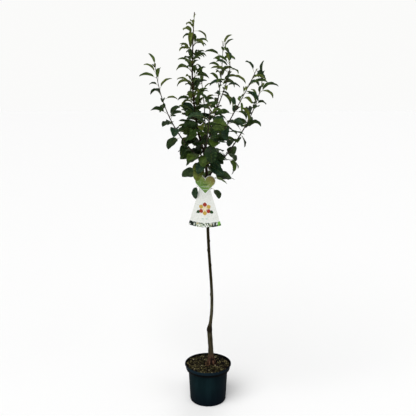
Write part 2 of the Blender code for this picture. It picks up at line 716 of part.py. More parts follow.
def make_label(card_look, heart_look, band_look):
    back = label_back()
    card = label_plate("label_card", card_outline(), back, card_look)
    heart = label_plate("label_heart", heart_outline(), back - CARD_THICKNESS - GAP, heart_look)
    # the band is a ring of the trunk's own section, moved out by the gap, one flat side to the card
    verts, faces = [], []
    for extra, height in (
        (GAP, BAND_PLACE), (GAP + BAND_THICKNESS, BAND_PLACE),
        (GAP + BAND_THICKNESS, BAND_PLACE + BAND_HEIGHT), (GAP, BAND_PLACE + BAND_HEIGHT),
    ):
        middle = trunk_centre(height)
        for k in range(BAND_SIDES):
            angle = 2 * math.pi * k / BAND_SIDES + math.radians(LABEL_TURN)
            radius = trunk_radius(BAND_PLACE, angle) / math.cos(math.pi / BAND_SIDES) + extra
            verts.append(middle + Vector((math.cos(angle), math.sin(angle), 0)) * radius)
    for ring in range(4):
        for k in range(BAND_SIDES):
            n = (k + 1) % BAND_SIDES
            low, high = ring * BAND_SIDES, (ring + 1) % 4 * BAND_SIDES
            faces.append([low + k, low + n, high + n, high + k])
    band = add_object("label_band", verts, faces, band_look)
    return card, heart, band


def make_masses():
    """Every mass of foliage; a spur's foot is cut to its carrier, a shoot's stretch needs no cut."""
    masses = []
    for name, shoot in dict(SHOOTS, top=top_shoot()).items():
        step = shoot_point(shoot, shoot.bare + CURVE_STEP) - shoot_point(shoot, shoot.bare)
        low = shoot.bare + GAP * CURVE_STEP / step.length
        stem = shoot_shape(shoot, low, 1.0)
        draw = lambda number, rng, shoot=shoot, low=low: shoot_leaf(shoot, low, number, rng)
        masses.append(Mass(name, stem, None, draw, shoot.leaves, shoot.seeds))
    for name, spur in dict(SPURS, **leader_spurs()).items():
        draw = lambda number, rng, spur=spur: spur_leaf(spur, number, rng)
        masses.append(Mass(name, spur_shape(spur), spur.carrier, draw, spur.leaves, (spur.seed,)))
    return masses


def main():
    clear_scene()
    bark = material("bark", (0.09, 0.07, 0.05), 0.8)
    twig = material("twig_bark", (0.10, 0.06, 0.045), 0.7)
    leaf_look = material("leaf", (0.035, 0.085, 0.02), 0.45)
    make_pot(material("pot_plastic", (0.012, 0.018, 0.022), 0.45))
    make_soil(material("bark_mulch", (0.16, 0.10, 0.045), 0.95))
    add_object("trunk", *trunk_shape(), bark, ROUND_ANGLE)
    limbs = [("trunk", as_solid(*trunk_shape()))]

    for name, shoot in SHOOTS.items():
        bough = add_object("bough_" + name, *shoot_shape(shoot, 0.0, shoot.bare), twig, ROUND_ANGLE)
        seat(bough, shoot.carrier)
        limbs.append((name, as_solid(*shoot_shape(shoot, BOUGH_CLEAR, shoot.bare))))

    label = make_label(
        material("card", (0.75, 0.78, 0.74), 0.6),
        material("heart", (0.12, 0.28, 0.06), 0.4),
        material("band", (0.75, 0.78, 0.74), 0.6),
    )
    for piece in label:
        spots = [v.co.copy() for v in piece.data.vertices]
        limbs.append((piece.name, as_solid(spots, [list(p.vertices) for p in piece.data.polygons])))

    masses = make_masses()
    for mass in masses:
        limbs.append(("stem_" + mass.name, as_solid(*mass.stem)))

    grown = []
    for mass in masses:
        leaves = grow_leaves(mass, limbs, grown)
        foliage = add_object("foliage_" + mass.name, *mass.stem, leaf_look, ROUND_ANGLE)
        if mass.carrier:
            seat(foliage, mass.carrier)
        combine(foliage, [add_object("leaf", *leaf_shape(leaf)) for leaf in leaves], "UNION")
    print("leaves:", len(grown))


main()
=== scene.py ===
# Potted pear tree: the finish of every surface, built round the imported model.
# Metres, +Z up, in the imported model's own frame; the label faces -Y.

import math
import random
from collections import namedtuple

import bmesh
import bpy
from mathutils import Matrix, Vector, noise
from mathutils.bvhtree import BVHTree


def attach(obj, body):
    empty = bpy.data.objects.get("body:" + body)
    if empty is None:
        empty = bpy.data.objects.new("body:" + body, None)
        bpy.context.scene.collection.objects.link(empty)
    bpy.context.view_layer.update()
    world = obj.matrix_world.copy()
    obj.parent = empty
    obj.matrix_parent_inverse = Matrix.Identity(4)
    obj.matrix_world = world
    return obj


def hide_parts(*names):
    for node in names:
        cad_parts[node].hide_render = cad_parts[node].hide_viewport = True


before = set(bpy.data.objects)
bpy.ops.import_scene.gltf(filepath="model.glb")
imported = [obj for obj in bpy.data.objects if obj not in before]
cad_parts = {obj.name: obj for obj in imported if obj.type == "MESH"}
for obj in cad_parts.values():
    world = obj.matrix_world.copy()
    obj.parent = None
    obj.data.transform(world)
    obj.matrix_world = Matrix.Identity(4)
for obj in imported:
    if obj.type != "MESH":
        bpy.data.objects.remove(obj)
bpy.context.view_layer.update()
goldenTurn = 2.39996  # radians from one leaf to the next
gap = 0.0003  # kept between solids that touch

shootRow = namedtuple("shootRow", "carrier start elbow tip bare leafy radius leaves turn seeds")
spurRow = namedtuple("spurRow", "carrier place azimuth rise length leaves scale hang seed")
leafRow = namedtuple("leafRow", "root heading rises petiole length halfWidth fold roll")
solidRow = namedtuple("solidRow", "tree centre reach")
massRow = namedtuple("massRow", "name stem draw count seeds")


# Small helpers for meshes

def addObject(name, data):
    thing = bpy.data.objects.new(name, data)
    bpy.context.scene.collection.objects.link(thing)
    return thing


def takeMesh(thing):  # what its modifiers make, as a plain mesh
    mesh = bpy.data.meshes.new_from_object(thing.evaluated_get(bpy.context.evaluated_depsgraph_get()))
    thing.modifiers.clear()
    bpy.data.objects.remove(thing, do_unlink=True)
    return mesh


def mix(pair, share):
    return pair[0] + (pair[1] - pair[0]) * share


def level(heading):  # a level direction
    return Vector((math.cos(heading), math.sin(heading), 0))


def rising(heading, rise):  # a direction that rises at an angle
    return Vector((math.cos(rise) * math.cos(heading), math.cos(rise) * math.sin(heading), math.sin(rise)))


def turns(count):  # the angles that share out a whole turn
    return [2 * math.pi * i / count for i in range(count)]


def around(count):  # each place on a closed ring, with the next one
    return [(i, (i + 1) % count) for i in range(count)]


def gridFaces(rows, width):  # the quads of a grid of points, row by row
    faces = []
    for row in range(rows - 1):
        faces += [[a, a + 1, a + width + 1, a + width] for a in range(row * width, (row + 1) * width - 1)]
    return faces


def curveThrough(rows, at, column):  # a smooth curve through the rows of a table
    last = len(rows) - 1
    row = 0
    while row < last - 1 and at > rows[row + 1][0]:
        row += 1

    def slope(i):
        low, high = rows[max(i - 1, 0)], rows[min(i + 1, last)]
        return (high[column] - low[column]) / (high[0] - low[0])

    span = rows[row + 1][0] - rows[row][0]
    t = (at - rows[row][0]) / span
    return (
        rows[row][column] * (1 + 2 * t) * (1 - t) ** 2
        + slope(row) * span * t * (1 - t) ** 2
        + rows[row + 1][column] * t * t * (3 - 2 * t)
        - slope(row + 1) * span * t * t * (1 - t)
    )


def newStore(verts=(), faces=()):  # points, faces and each face's finish
    return {"verts": list(verts), "faces": list(faces), "kinds": [0] * len(faces)}


def addShape(store, verts, faces, kind=0):  # kind is its finish, or a list with one for each face
    base = len(store["verts"])
    store["verts"] += verts
    store["faces"] += [[base + i for i in face] for face in faces]
    store["kinds"] += kind if isinstance(kind, list) else [kind] * len(faces)


def makeMesh(name, store, materials):
    mesh = bpy.data.meshes.new(name)
    mesh.from_pydata([tuple(v) for v in store["verts"]], [], store["faces"])
    mesh.polygons.foreach_set("material_index", store["kinds"])
    work = bmesh.new()
    work.from_mesh(mesh)
    bmesh.ops.recalc_face_normals(work, faces=work.faces)
    work.to_mesh(mesh)
    work.free()
    for look in materials:
        mesh.materials.append(look)
    return mesh


def placePiece(name, mesh, replaced=(), sharpAngle=60):
    mesh.shade_smooth()
    mesh.set_sharp_from_angle(angle=math.radians(sharpAngle))
    piece = addObject(name, mesh)
    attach(piece, "root")
    if replaced:
        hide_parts(*replaced)
    return piece


def makePiece(name, store, materials, replaced=(), sharpAngle=60):
    return placePiece(name, makeMesh(name, store, materials), replaced, sharpAngle)


def ringBand(low, high, count):  # the quads between two closed rings of points
    return [[low + k, low + n, high + n, high + k] for k, n in around(count)]


def tubeFaces(rings, sides):  # the wall and both ends of a row of rings
    faces = []
    for i in range(rings - 1):
        faces += ringBand(i * sides, (i + 1) * sides, sides)
    faces.append(list(range(sides))[::-1])
    faces.append([(rings - 1) * sides + k for k in range(sides)])
    return faces


def ringTube(points, radii, sides):  # rings square to a route of points
    verts = []
    side = None
    for i, point in enumerate(points):
        ahead = points[min(i + 1, len(points) - 1)] - points[max(i - 1, 0)]
        ahead.normalize()
        guide = side if side else Vector((1, 0, 0))
        side = (guide - ahead * guide.dot(ahead)).normalized()
        other = ahead.cross(side)
        for angle in turns(sides):
            verts.append(point + (side * math.cos(angle) + other * math.sin(angle)) * radii[i])
    return verts, tubeFaces(len(points), sides)


# Node trees, for shapes and for finishes

def feed(tree, socket, value):  # a plain value, or another node's output
    if isinstance(value, bpy.types.NodeSocket):
        tree.links.new(value, socket)
    elif socket.type == "RGBA":
        socket.default_value = (*value, 1)
    else:
        socket.default_value = value


def addNode(tree, kind, inputs=(), output=None, **settings):  # the node, or the output that is named
    node = tree.nodes.new(kind)
    for name, value in settings.items():
        setattr(node, name, value)
    for socket, value in dict(inputs).items():
        feed(tree, node.inputs[socket], value)
    return node if output is None else node.outputs[output]


def newGroup(name, kind, inputs, outputs):  # each input's type and the value that it starts with
    group = bpy.data.node_groups.new(name, kind)
    for label, (socketType, value) in inputs.items():
        socket = group.interface.new_socket(label, in_out="INPUT", socket_type="NodeSocket" + socketType)
        if value is not None:
            socket.default_value = value
    for label, socketType in outputs.items():
        group.interface.new_socket(label, in_out="OUTPUT", socket_type="NodeSocket" + socketType)
    return group, group.nodes.new("NodeGroupInput").outputs, group.nodes.new("NodeGroupOutput").inputs


def newTree(name, **inputs):  # a Geometry Nodes tree with named inputs
    sockets = {"Geometry": ("Geometry", None)}
    sockets.update({label: (socketType, None) for label, socketType in inputs.items()})
    return newGroup(name, "GeometryNodeTree", sockets, {"Geometry": "Geometry"})


def randomVector(tree, low, high, seed):
    inputs = {"Min": low, "Max": high, "Seed": seed}
    return addNode(tree, "FunctionNodeRandomValue", inputs, "Value", data_type="FLOAT_VECTOR")


def addSpread(tree, mesh, density, seed):  # the outputs of a node that strews points over a mesh
    inputs = {"Mesh": mesh, "Density": density, "Seed": seed}
    return addNode(tree, "GeometryNodeDistributePointsOnFaces", inputs).outputs


def addReading(tree, name, **settings):  # a named attribute
    return addNode(tree, "GeometryNodeInputNamedAttribute", {"Name": name}, "Attribute", **settings)


def addMove(tree, geometry, offset):
    return addNode(tree, "GeometryNodeSetPosition", {"Geometry": geometry, "Offset": offset}, "Geometry")


def addInstances(tree, points, instance, rotation, scale):
    inputs = {"Points": points, "Instance": instance, "Rotation": rotation, "Scale": scale}
    return addNode(tree, "GeometryNodeInstanceOnPoints", inputs, "Instances")


def addRealize(tree, instances):
    return addNode(tree, "GeometryNodeRealizeInstances", {"Geometry": instances}, "Geometry")


def addDress(tree, geometry, look, chosen=True):
    inputs = {"Geometry": geometry, "Material": look, "Selection": chosen}
    return addNode(tree, "GeometryNodeSetMaterial", inputs, "Geometry")


def runTree(name, guide, tree, settings):  # the tree's result on a guide mesh
    holder = addObject(name, guide)
    step = holder.modifiers.new("grow", "NODES")
    step.node_group = tree
    for item in tree.interface.items_tree:
        if item.in_out == "INPUT" and item.name in settings:
            step[item.identifier] = settings[item.name]
    mesh = takeMesh(holder)
    mesh.name = name
    return mesh


# Parts of finishes

def addRange(tree, value, low, high):  # 0 at low, 1 at high, clamped
    inputs = {"Value": value, "From Min": low, "From Max": high}
    return addNode(tree, "ShaderNodeMapRange", inputs, "Result")


def addBlend(tree, factor, first, second):  # two colours, each a tuple or an output
    inputs = {"Factor": factor, "A": first, "B": second}
    return addNode(tree, "ShaderNodeMix", inputs, "Result", data_type="RGBA")


def addRamp(tree, value, rows, soft=True):  # a colour for each share of a value
    node = addNode(tree, "ShaderNodeValToRGB", {"Fac": value})
    node.color_ramp.interpolation = "LINEAR" if soft else "CONSTANT"
    stops = node.color_ramp.elements
    stops[0].position, stops[0].color = rows[0][0], (*rows[0][1], 1)
    stops[1].position, stops[1].color = rows[-1][0], (*rows[-1][1], 1)
    for at, colour in rows[1:-1]:
        stops.new(at).color = (*colour, 1)
    return node.outputs["Color"]


def objectAxes(tree, middle=(0, 0, 0)):  # X, Y and Z of Object coordinates from a middle
    place = addNode(tree, "ShaderNodeTexCoord", output="Object")
    away = tuple(-v for v in middle)
    spot = addNode(tree, "ShaderNodeMapping", {"Vector": place, "Location": away}, "Vector")
    return addNode(tree, "ShaderNodeSeparateXYZ", {"Vector": spot}).outputs


def flatPart(tree, axes, names):  # two of the axes as a vector, and its length
    flat = addNode(tree, "ShaderNodeCombineXYZ", {name: axes[name] for name in names}, "Vector")
    return flat, addNode(tree, "ShaderNodeVectorMath", {0: flat}, "Value", operation="LENGTH")


def stretchedNoise(group, inputs, scaleName, detail):  # noise on Object coordinates, drawn out along Z
    place = addNode(group, "ShaderNodeTexCoord", output="Object")
    stretch = addNode(group, "ShaderNodeCombineXYZ", {"X": 1, "Y": 1, "Z": inputs["Stretch"]}, "Vector")
    spot = addNode(group, "ShaderNodeMapping", {"Vector": place, "Scale": stretch}, "Vector")
    grain = {"Vector": spot, "Scale": inputs[scaleName], "Detail": detail}
    return addNode(group, "ShaderNodeTexNoise", grain, "Fac")


def makeMottle():  # two colours in soft or hard-edged patches
    group, inputs, outputs = newGroup("mottle", "ShaderNodeTree", {
        "Colour": ("Color", (0.5, 0.5, 0.5, 1)), "Patch Colour": ("Color", (0.3, 0.3, 0.3, 1)),
        "Scale": ("Float", 50), "Stretch": ("Float", 1), "From": ("Float", 0.4), "To": ("Float", 0.6),
    }, {"Colour": "Color"})
    grain = stretchedNoise(group, inputs, "Scale", detail=4)
    mask = addRange(group, grain, inputs["From"], inputs["To"])
    feed(group, outputs["Colour"], addBlend(group, mask, inputs["Colour"], inputs["Patch Colour"]))
    return group


def makeRelief():  # a height from coarse and fine grain
    group, inputs, outputs = newGroup("relief", "ShaderNodeTree", {
        "Coarse Scale": ("Float", 80), "Fine Scale": ("Float", 400), "Stretch": ("Float", 1),
        "Fine Share": ("Float", 0.4),
    }, {"Height": "Float"})
    coarse = stretchedNoise(group, inputs, "Coarse Scale", detail=3)
    fine = stretchedNoise(group, inputs, "Fine Scale", detail=2)
    both = {"Factor": inputs["Fine Share"], "A": coarse, "B": fine}
    feed(group, outputs["Height"], addNode(group, "ShaderNodeMix", both, "Result"))
    return group


mottleGroup = makeMottle()
reliefGroup = makeRelief()


def shaderOf(look):
    return look.node_tree.nodes["Principled BSDF"]


def newMaterial(name, roughness, specular=0.3, colour=(0.5, 0.5, 0.5)):
    look = bpy.data.materials.new(name)
    look.use_nodes = True
    values = {"Base Color": colour, "Roughness": roughness, "Specular IOR Level": specular}
    for socket, value in values.items():
        feed(look.node_tree, shaderOf(look).inputs[socket], value)
    return look


def paint(look, colour):
    feed(look.node_tree, shaderOf(look).inputs["Base Color"], colour)


def addMottle(tree, colour, patch, scale, stretch, edge):
    inputs = {
        "Colour": colour, "Patch Colour": patch, "Scale": scale, "Stretch": stretch,
        "From": edge[0], "To": edge[1],
    }
    return addNode(tree, "ShaderNodeGroup", inputs, "Colour", node_tree=mottleGroup)


def addRelief(look, coarse, fine, stretch, depth):
    tree = look.node_tree
    grain = {"Coarse Scale": coarse, "Fine Scale": fine, "Stretch": stretch}
    height = addNode(tree, "ShaderNodeGroup", grain, "Height", node_tree=reliefGroup)
    normal = addNode(tree, "ShaderNodeBump", {"Distance": depth, "Height": height}, "Normal")
    feed(tree, shaderOf(look).inputs["Normal"], normal)


def mottledMaterial(name, roughness, colours, finish):  # the most common finish of this plant
    look = newMaterial(name, roughness, finish["specular"])
    paint(look, addMottle(look.node_tree, *colours, **finish["mottle"]))
    if "relief" in finish:
        addRelief(look, **finish["relief"])
    return look


# Trunk and shoots: the centre lines and tapers that everything else grows on

trunkForm = {
    "line": (  # height, x and y of the centre line
        (0.199, 0.019, 0.000), (0.300, 0.0145, 0.001), (0.405, 0.010, 0.002), (0.490, 0.019, 0.003),
        (0.570, 0.021, 0.003), (0.656, 0.018, 0.002), (0.800, 0.008, 0.001), (0.920, 0.001, 0.001),
        (1.100, -0.004, 0.000), (1.320, -0.012, 0.000), (1.480, -0.051, 0.003), (1.690, -0.077, 0.006),
        (1.920, -0.075, 0.004), (2.045, -0.067, 0.000),
    ),
    "taper": (  # height and radius
        (0.199, 0.0190), (0.218, 0.0225), (0.238, 0.0175), (0.262, 0.0145), (0.370, 0.0133),
        (0.460, 0.0088), (1.250, 0.0076), (1.450, 0.0060), (1.930, 0.0029), (2.045, 0.0012),
    ),
    "foot": 0.199, "top": 1.930, "tip": 2.045,
    "flare": 0.0040, "flareFade": 0.014, "lobes": 3, "lobeDepth": 0.3, "lobeTurn": 0.6,
    "graft": 0.408, "graftBulge": 0.0032, "graftSpread": 0.017, "graftLean": 0.6,
}
shoots = {
    "left": shootRow(
        "trunk", 1.312, (-0.223, -0.050, 1.483), (-0.257, -0.078, 1.789),
        0.24, 1, 0.0036, 23, 2.6, (1362, 1372, 5224, 572, 4653, 156)),
    "middle": shootRow(
        "trunk", 1.369, (0.072, 0.060, 1.607), (0.077, 0.100, 1.916),
        0.46, 1, 0.0036, 24, 0.4, (548, 2380, 5078, 2430)),
    "fork": shootRow(
        "middle", 0.40, (0.120, 0.020, 1.771), (0.109, -0.010, 1.808),
        0.16, 1, 0.0026, 18, 1.2, (2815, 4982, 418)),
    "inner_right": shootRow(
        "trunk", 1.328, (0.123, -0.090, 1.544), (0.226, -0.170, 1.764),
        0.24, 1, 0.0034, 25, 0.0, (2792, 1626, 3934, 1455)),
    "outer_right": shootRow(
        "trunk", 1.235, (0.253, 0.070, 1.509), (0.290, 0.140, 1.757),
        0.26, 1, 0.0038, 31, 5.2, (4569, 302, 325, 510)),
    "front": shootRow(
        "trunk", 1.340, (0.000, -0.150, 1.470), (0.010, -0.215, 1.600),
        0.28, 1, 0.0032, 11, 3.3, (100, 3214)),
    "back": shootRow(
        "trunk", 1.360, (-0.005, 0.180, 1.570), (-0.044, 0.270, 1.786),
        0.24, 1, 0.0034, 24, 4.1, (4012, 4692, 4925)),
}
shootForm = {
    "leafySpan": (0.03, 0.985), "tipRadius": 0.0013, "hullSides": 5, "hullRings": 16, "leastRings": 3,
    "clear": 0.03, "stemAngles": (62, 30), "stemAngleVaries": 22,
    "turnVaries": 1.4, "curveStep": 0.01, "tipLift": 50, "anglePower": 4, "liftPower": 8,
    "topLeaves": 8, "topLeafy": 0.55, "topTurn": 1.0, "topSeeds": (544, 1725),
}
spurs = {
    "low_left": spurRow("trunk", 1.238, 188, 15, 0.030, 3, 1.00, 25, 409),
    "low_right": spurRow("trunk", 1.225, 354, 10, 0.034, 4, 1.10, 15, 1641),
    "low_front": spurRow("trunk", 1.285, 258, 25, 0.024, 4, 0.95, 15, 1179),
    "low_back": spurRow("trunk", 1.250, 80, 20, 0.030, 5, 1.00, 20, 1376),
    "mid_left": spurRow("trunk", 1.345, 215, 20, 0.030, 4, 1.05, 25, 712),
    "mid_front": spurRow("trunk", 1.308, 290, 25, 0.024, 4, 1.00, 15, 1699),
    "mid_back": spurRow("trunk", 1.325, 130, 25, 0.028, 5, 1.00, 15, 92),
    "high_front": spurRow("trunk", 1.395, 250, 30, 0.024, 5, 0.95, 5, 1188),
    "high_left": spurRow("trunk", 1.420, 182, 25, 0.045, 5, 1.00, 10, 797),
    "high_right": spurRow("trunk", 1.300, 20, 30, 0.030, 4, 1.00, 5, 939),
    "hanging_left": spurRow("trunk", 1.194, 168, 0, 0.040, 1, 0.90, 62, 226),
    "hanging_right": spurRow("trunk", 1.172, 15, 15, 0.024, 1, 0.82, 45, 355),
    "side_left": spurRow("trunk", 1.535, 188, 25, 0.070, 4, 0.80, 5, 1090),
    "on_middle_low": spurRow("middle", 0.17, 20, 35, 0.022, 4, 0.95, 0, 1170),
    "on_middle_mid": spurRow("middle", 0.25, 250, 35, 0.022, 4, 0.95, 0, 1119),
    "on_middle_high": spurRow("middle", 0.34, 120, 35, 0.020, 4, 0.90, 0, 1144),
    "on_inner_right": spurRow("inner_right", 0.17, 300, 30, 0.022, 4, 0.95, 5, 221),
    "on_left": spurRow("left", 0.16, 120, 30, 0.020, 3, 0.95, 5, 1002),
    "on_outer_low": spurRow("outer_right", 0.17, 350, 0, 0.028, 3, 0.95, 50, 750),
    "on_outer_high": spurRow("outer_right", 0.20, 110, 30, 0.022, 4, 0.95, 10, 721),
}
spurForm = {
    "radius": 0.0026, "tipRadius": 0.0018, "hullSides": 4, "roots": (0.96, 0.72),
    "fan": 150, "fanVaries": 25, "leafRise": 12, "riseVaries": (-18, 28),
    "leaderCount": 15, "leaderHeights": (1.450, 1.895), "leaderTurn": 200,
    "leaderRise": 38, "leaderLength": 0.018, "leaderLeaves": 6,
    "leaderScales": (1.05, 0.85),
    "leaderSeeds": (1376, 789, 1007, 812, 728, 1045, 268, 1658, 701, 198, 707, 1339, 994, 1382, 1662),
}


def trunkCentre(height):
    line = trunkForm["line"]
    return Vector((curveThrough(line, height, 1), curveThrough(line, height, 2), height))


def trunkRadius(height, angle):
    form = trunkForm
    flare = form["flare"] * math.exp(-(height - form["foot"]) / form["flareFade"])
    lobes = 1 + form["lobeDepth"] * math.cos(form["lobes"] * angle + form["lobeTurn"])
    bulge = form["graftBulge"] * math.exp(-(((height - form["graft"]) / form["graftSpread"]) ** 2))
    leftward = 1 - form["graftLean"] * math.cos(angle)
    return curveThrough(form["taper"], height, 1) + flare * lobes + bulge * leftward


def carrierPoint(carrier, place):
    if carrier == "trunk":
        return trunkCentre(place)
    return shootPoint(shoots[carrier], place)


def shootPoint(shoot, t):
    start = carrierPoint(shoot.carrier, shoot.start)
    return start * (1 - t) ** 2 + Vector(shoot.elbow) * 2 * t * (1 - t) + Vector(shoot.tip) * t * t


def leafyFrom(shoot):  # the share at which its foliage begins, a gap above the bough
    step = shootPoint(shoot, shoot.bare + shootForm["curveStep"]) - shootPoint(shoot, shoot.bare)
    return shoot.bare + gap * shootForm["curveStep"] / step.length


def shootHull(shoot, low, high):  # the plain stretch that the leaves keep clear of
    count = max(shootForm["leastRings"], round(shootForm["hullRings"] * (high - low)))
    shares = [low + (high - low) * i / count for i in range(count + 1)]
    radii = [mix((shoot.radius, shootForm["tipRadius"]), t) for t in shares]
    return ringTube([shootPoint(shoot, t) for t in shares], radii, shootForm["hullSides"])


def topShoot():  # the last stretch of the leader
    foot, tip = trunkCentre(trunkForm["top"]), trunkCentre(trunkForm["tip"])
    elbow = trunkCentre((trunkForm["top"] + trunkForm["tip"]) / 2) * 2 - (foot + tip) / 2
    radius = curveThrough(trunkForm["taper"], trunkForm["top"], 1)
    form = shootForm
    return shootRow("trunk", trunkForm["top"], elbow, tip, 0.0, form["topLeafy"], radius,
                    form["topLeaves"], form["topTurn"], form["topSeeds"])


def leaderSpurs():  # spurs that wind up the leader
    form = spurForm
    rows = {}
    for i in range(form["leaderCount"]):
        share = i / (form["leaderCount"] - 1)
        rows["leader_%02d" % (i + 1)] = spurRow(
            "trunk", mix(form["leaderHeights"], share), form["leaderTurn"] + i * math.degrees(goldenTurn),
            form["leaderRise"], form["leaderLength"], form["leaderLeaves"], mix(form["leaderScales"], share),
            0, form["leaderSeeds"][i],
        )
    return rows


allSpurs = dict(spurs, **leaderSpurs())


def spurPoint(spur, share):
    ahead = rising(math.radians(spur.azimuth), math.radians(spur.rise))
    return carrierPoint(spur.carrier, spur.place) + ahead * spur.length * share


def spurHull(spur):
    radii = [spurForm["radius"], spurForm["tipRadius"]]
    return ringTube([spurPoint(spur, 0), spurPoint(spur, 1)], radii, spurForm["hullSides"])


# Growth: where each leaf stands and how it is bent, by the same seeded rule as the solids

leafForm = {
    "broadBelow": 1.43, "narrowAbove": 1.62,  # a pair is for leaves low and high in the crown
    "length": (0.084, 0.068), "halfWidth": (0.355, 0.225), "fold": (10, 42), "roll": (60, 35),
    "petiole": (0.028, 0.022), "petioleRadius": 0.0009, "stalkFold": math.radians(30),
    "hullThickness": 0.0012,
    "baseLift": (-20, -10), "bladeTurn": (-40, -52),
    "lengthVaries": (0.78, 1.14), "widthVaries": (0.80, 1.12), "petioleVaries": (0.8, 1.25),  # least, most
    "foldVaries": 6, "baseVaries": (-18, 14), "bladeVaries": 24,
    "hangOnStalk": 0.4, "hangAtBase": 0.6, "hangOnBlade": 0.3,
    "hullStations": ((0.27, 0.97), (0.63, 0.84)), "tries": 12, "clearance": 0.002, "seedStep": 100,
}


def arcPoint(start, heading, rise, turn, length, share):  # on an upright arc, and its rise there
    there = rise + turn * share
    radius = length / turn
    out = radius * (math.sin(there) - math.sin(rise))
    up = radius * (math.cos(rise) - math.cos(there))
    return start + level(heading) * out + Vector((0, 0, up)), there


def stalkPoint(leaf, share):  # on the petiole
    rise, baseTurn, _ = leaf.rises
    return arcPoint(leaf.root, leaf.heading, rise, baseTurn, leaf.petiole, share)


def bladePoint(leaf, share, longer=0.0):  # on the midrib
    base, rise = stalkPoint(leaf, 1.0)
    return arcPoint(base, leaf.heading, rise, leaf.rises[2], leaf.length + longer, share)


def leafAxes(heading, rise, roll):  # across the blade, and out of its upper face
    flat = Vector((-math.sin(heading), math.cos(heading), 0))
    above = rising(heading, rise).cross(flat)
    side = flat * math.cos(roll) + above * math.sin(roll)
    over = above * math.cos(roll) - flat * math.sin(roll)
    return side, over


def hullRing(point, heading, rise, roll, halfWidth, fold, thickness):
    side, over = leafAxes(heading, rise, roll)
    reach = side * halfWidth * math.cos(fold)
    lift = over * halfWidth * math.sin(fold)
    half = over * thickness / 2
    return [point + reach + lift, point + half, point - reach + lift, point - half]


def stalkRing(point, heading, rise, roll, radius):  # left, right, underside
    left, _, right, under = hullRing(point, heading, rise, roll, radius, leafForm["stalkFold"], 2 * radius)
    return [left, right, under]


def leafHull(leaf, grow=0.0, bladeOnly=False):  # the plain leaf of the solids, or a fatter one
    foot = leafForm["petioleRadius"] + grow
    base, baseRise = stalkPoint(leaf, 1.0)
    verts = stalkRing(base, leaf.heading, baseRise, leaf.roll, foot)
    faces = []
    if not bladeOnly:
        verts = stalkRing(leaf.root, leaf.heading, leaf.rises[0], 0, foot) + verts
        for k, n in around(3):
            faces += [[k, n + 3, n], [k, k + 3, n + 3]]
    faces.append([0, 1, 2])
    left, right, under = range(len(verts) - 3, len(verts))
    first = len(verts)
    edge, top, farEdge, below = range(first, first + 4)
    faces += [
        [left, edge, top], [left, top, right], [right, top, farEdge], [right, farEdge, under],
        [under, farEdge, below], [under, below, edge], [under, edge, left],
    ]
    for share, width in leafForm["hullStations"]:
        point, there = bladePoint(leaf, share)
        halfWidth = leaf.halfWidth * width + grow
        thickness = leafForm["hullThickness"] + 2 * grow
        verts += hullRing(point, leaf.heading, there, leaf.roll, halfWidth, leaf.fold, thickness)
    verts.append(bladePoint(leaf, 1.0, grow)[0])
    end = len(verts) - 1
    for k, n in around(4):
        faces += [[first + k, first + 4 + n, first + n], [first + k, first + 4 + k, first + 4 + n]]
        faces.append([first + 4 + k, end, first + 4 + n])
    return verts, faces


def crownShare(height):  # 0 low in the crown, 1 high in it
    share = (height - leafForm["broadBelow"]) / (leafForm["narrowAbove"] - leafForm["broadBelow"])
    return min(max(share, 0), 1)


def bendLeaf(root, heading, rise, scale, hang, rng):
    form = leafForm
    high = crownShare(root.z)
    length = mix(form["length"], high) * scale * rng.uniform(*form["lengthVaries"])
    halfWidth = mix(form["halfWidth"], high) * length * rng.uniform(*form["widthVaries"])
    petiole = mix(form["petiole"], high) * scale * rng.uniform(*form["petioleVaries"])
    fold = mix(form["fold"], high) + rng.uniform(-form["foldVaries"], form["foldVaries"])
    baseTurn = mix(form["baseLift"], high) - hang * form["hangAtBase"] + rng.uniform(*form["baseVaries"])
    bladeVaries = rng.uniform(-form["bladeVaries"], form["bladeVaries"])
    bladeTurn = mix(form["bladeTurn"], high) - hang * form["hangOnBlade"] + bladeVaries
    roll = mix(form["roll"], high) * rng.uniform(-1, 1)
    rises = (rise, math.radians(baseTurn), math.radians(bladeTurn))
    return leafRow(root, heading, rises, petiole, length, halfWidth, math.radians(fold), math.radians(roll))


def shootLeaf(shoot, low, number, rng):
    form = shootForm
    share = (number + 0.5) / shoot.leaves
    t = mix((low, shoot.leafy), mix(form["leafySpan"], share))
    root = shootPoint(shoot, t)
    ahead = min(t + form["curveStep"], 1)
    stem = (shootPoint(shoot, ahead) - shootPoint(shoot, ahead - 2 * form["curveStep"])).normalized()
    across = stem.cross(Vector((1, 0, 0))).normalized()
    beside = stem.cross(across)
    turn = shoot.turn + number * goldenTurn + rng.uniform(-form["turnVaries"], form["turnVaries"])
    varies = rng.uniform(-form["stemAngleVaries"], form["stemAngleVaries"])
    spread = math.radians(mix(form["stemAngles"], share ** form["anglePower"]) + varies)
    away = across * math.cos(turn) + beside * math.sin(turn)
    out = stem * math.cos(spread) + away * math.sin(spread)
    heading = math.atan2(out.y, out.x)
    rise = math.asin(max(-1, min(1, out.z)))
    return bendLeaf(root, heading, rise, 1.0, -form["tipLift"] * share ** form["liftPower"], rng)


def spurLeaf(spur, number, rng):
    form = spurForm
    share = (number + 0.5) / spur.leaves
    root = spurPoint(spur, mix(form["roots"], abs(2 * share - 1)))
    fan = (share - 0.5) * form["fan"] + rng.uniform(-form["fanVaries"], form["fanVaries"])
    droop = spur.hang * leafForm["hangOnStalk"]
    rise = spur.rise + form["leafRise"] - droop + rng.uniform(*form["riseVaries"])
    return bendLeaf(root, math.radians(spur.azimuth + fan), math.radians(rise), spur.scale, spur.hang, rng)


def asSolid(verts, faces):
    spots = [Vector(v) for v in verts]
    centre = sum(spots, Vector()) / len(spots)
    reach = max((spot - centre).length for spot in spots)
    return solidRow(BVHTree.FromPolygons(spots, faces), centre, reach)


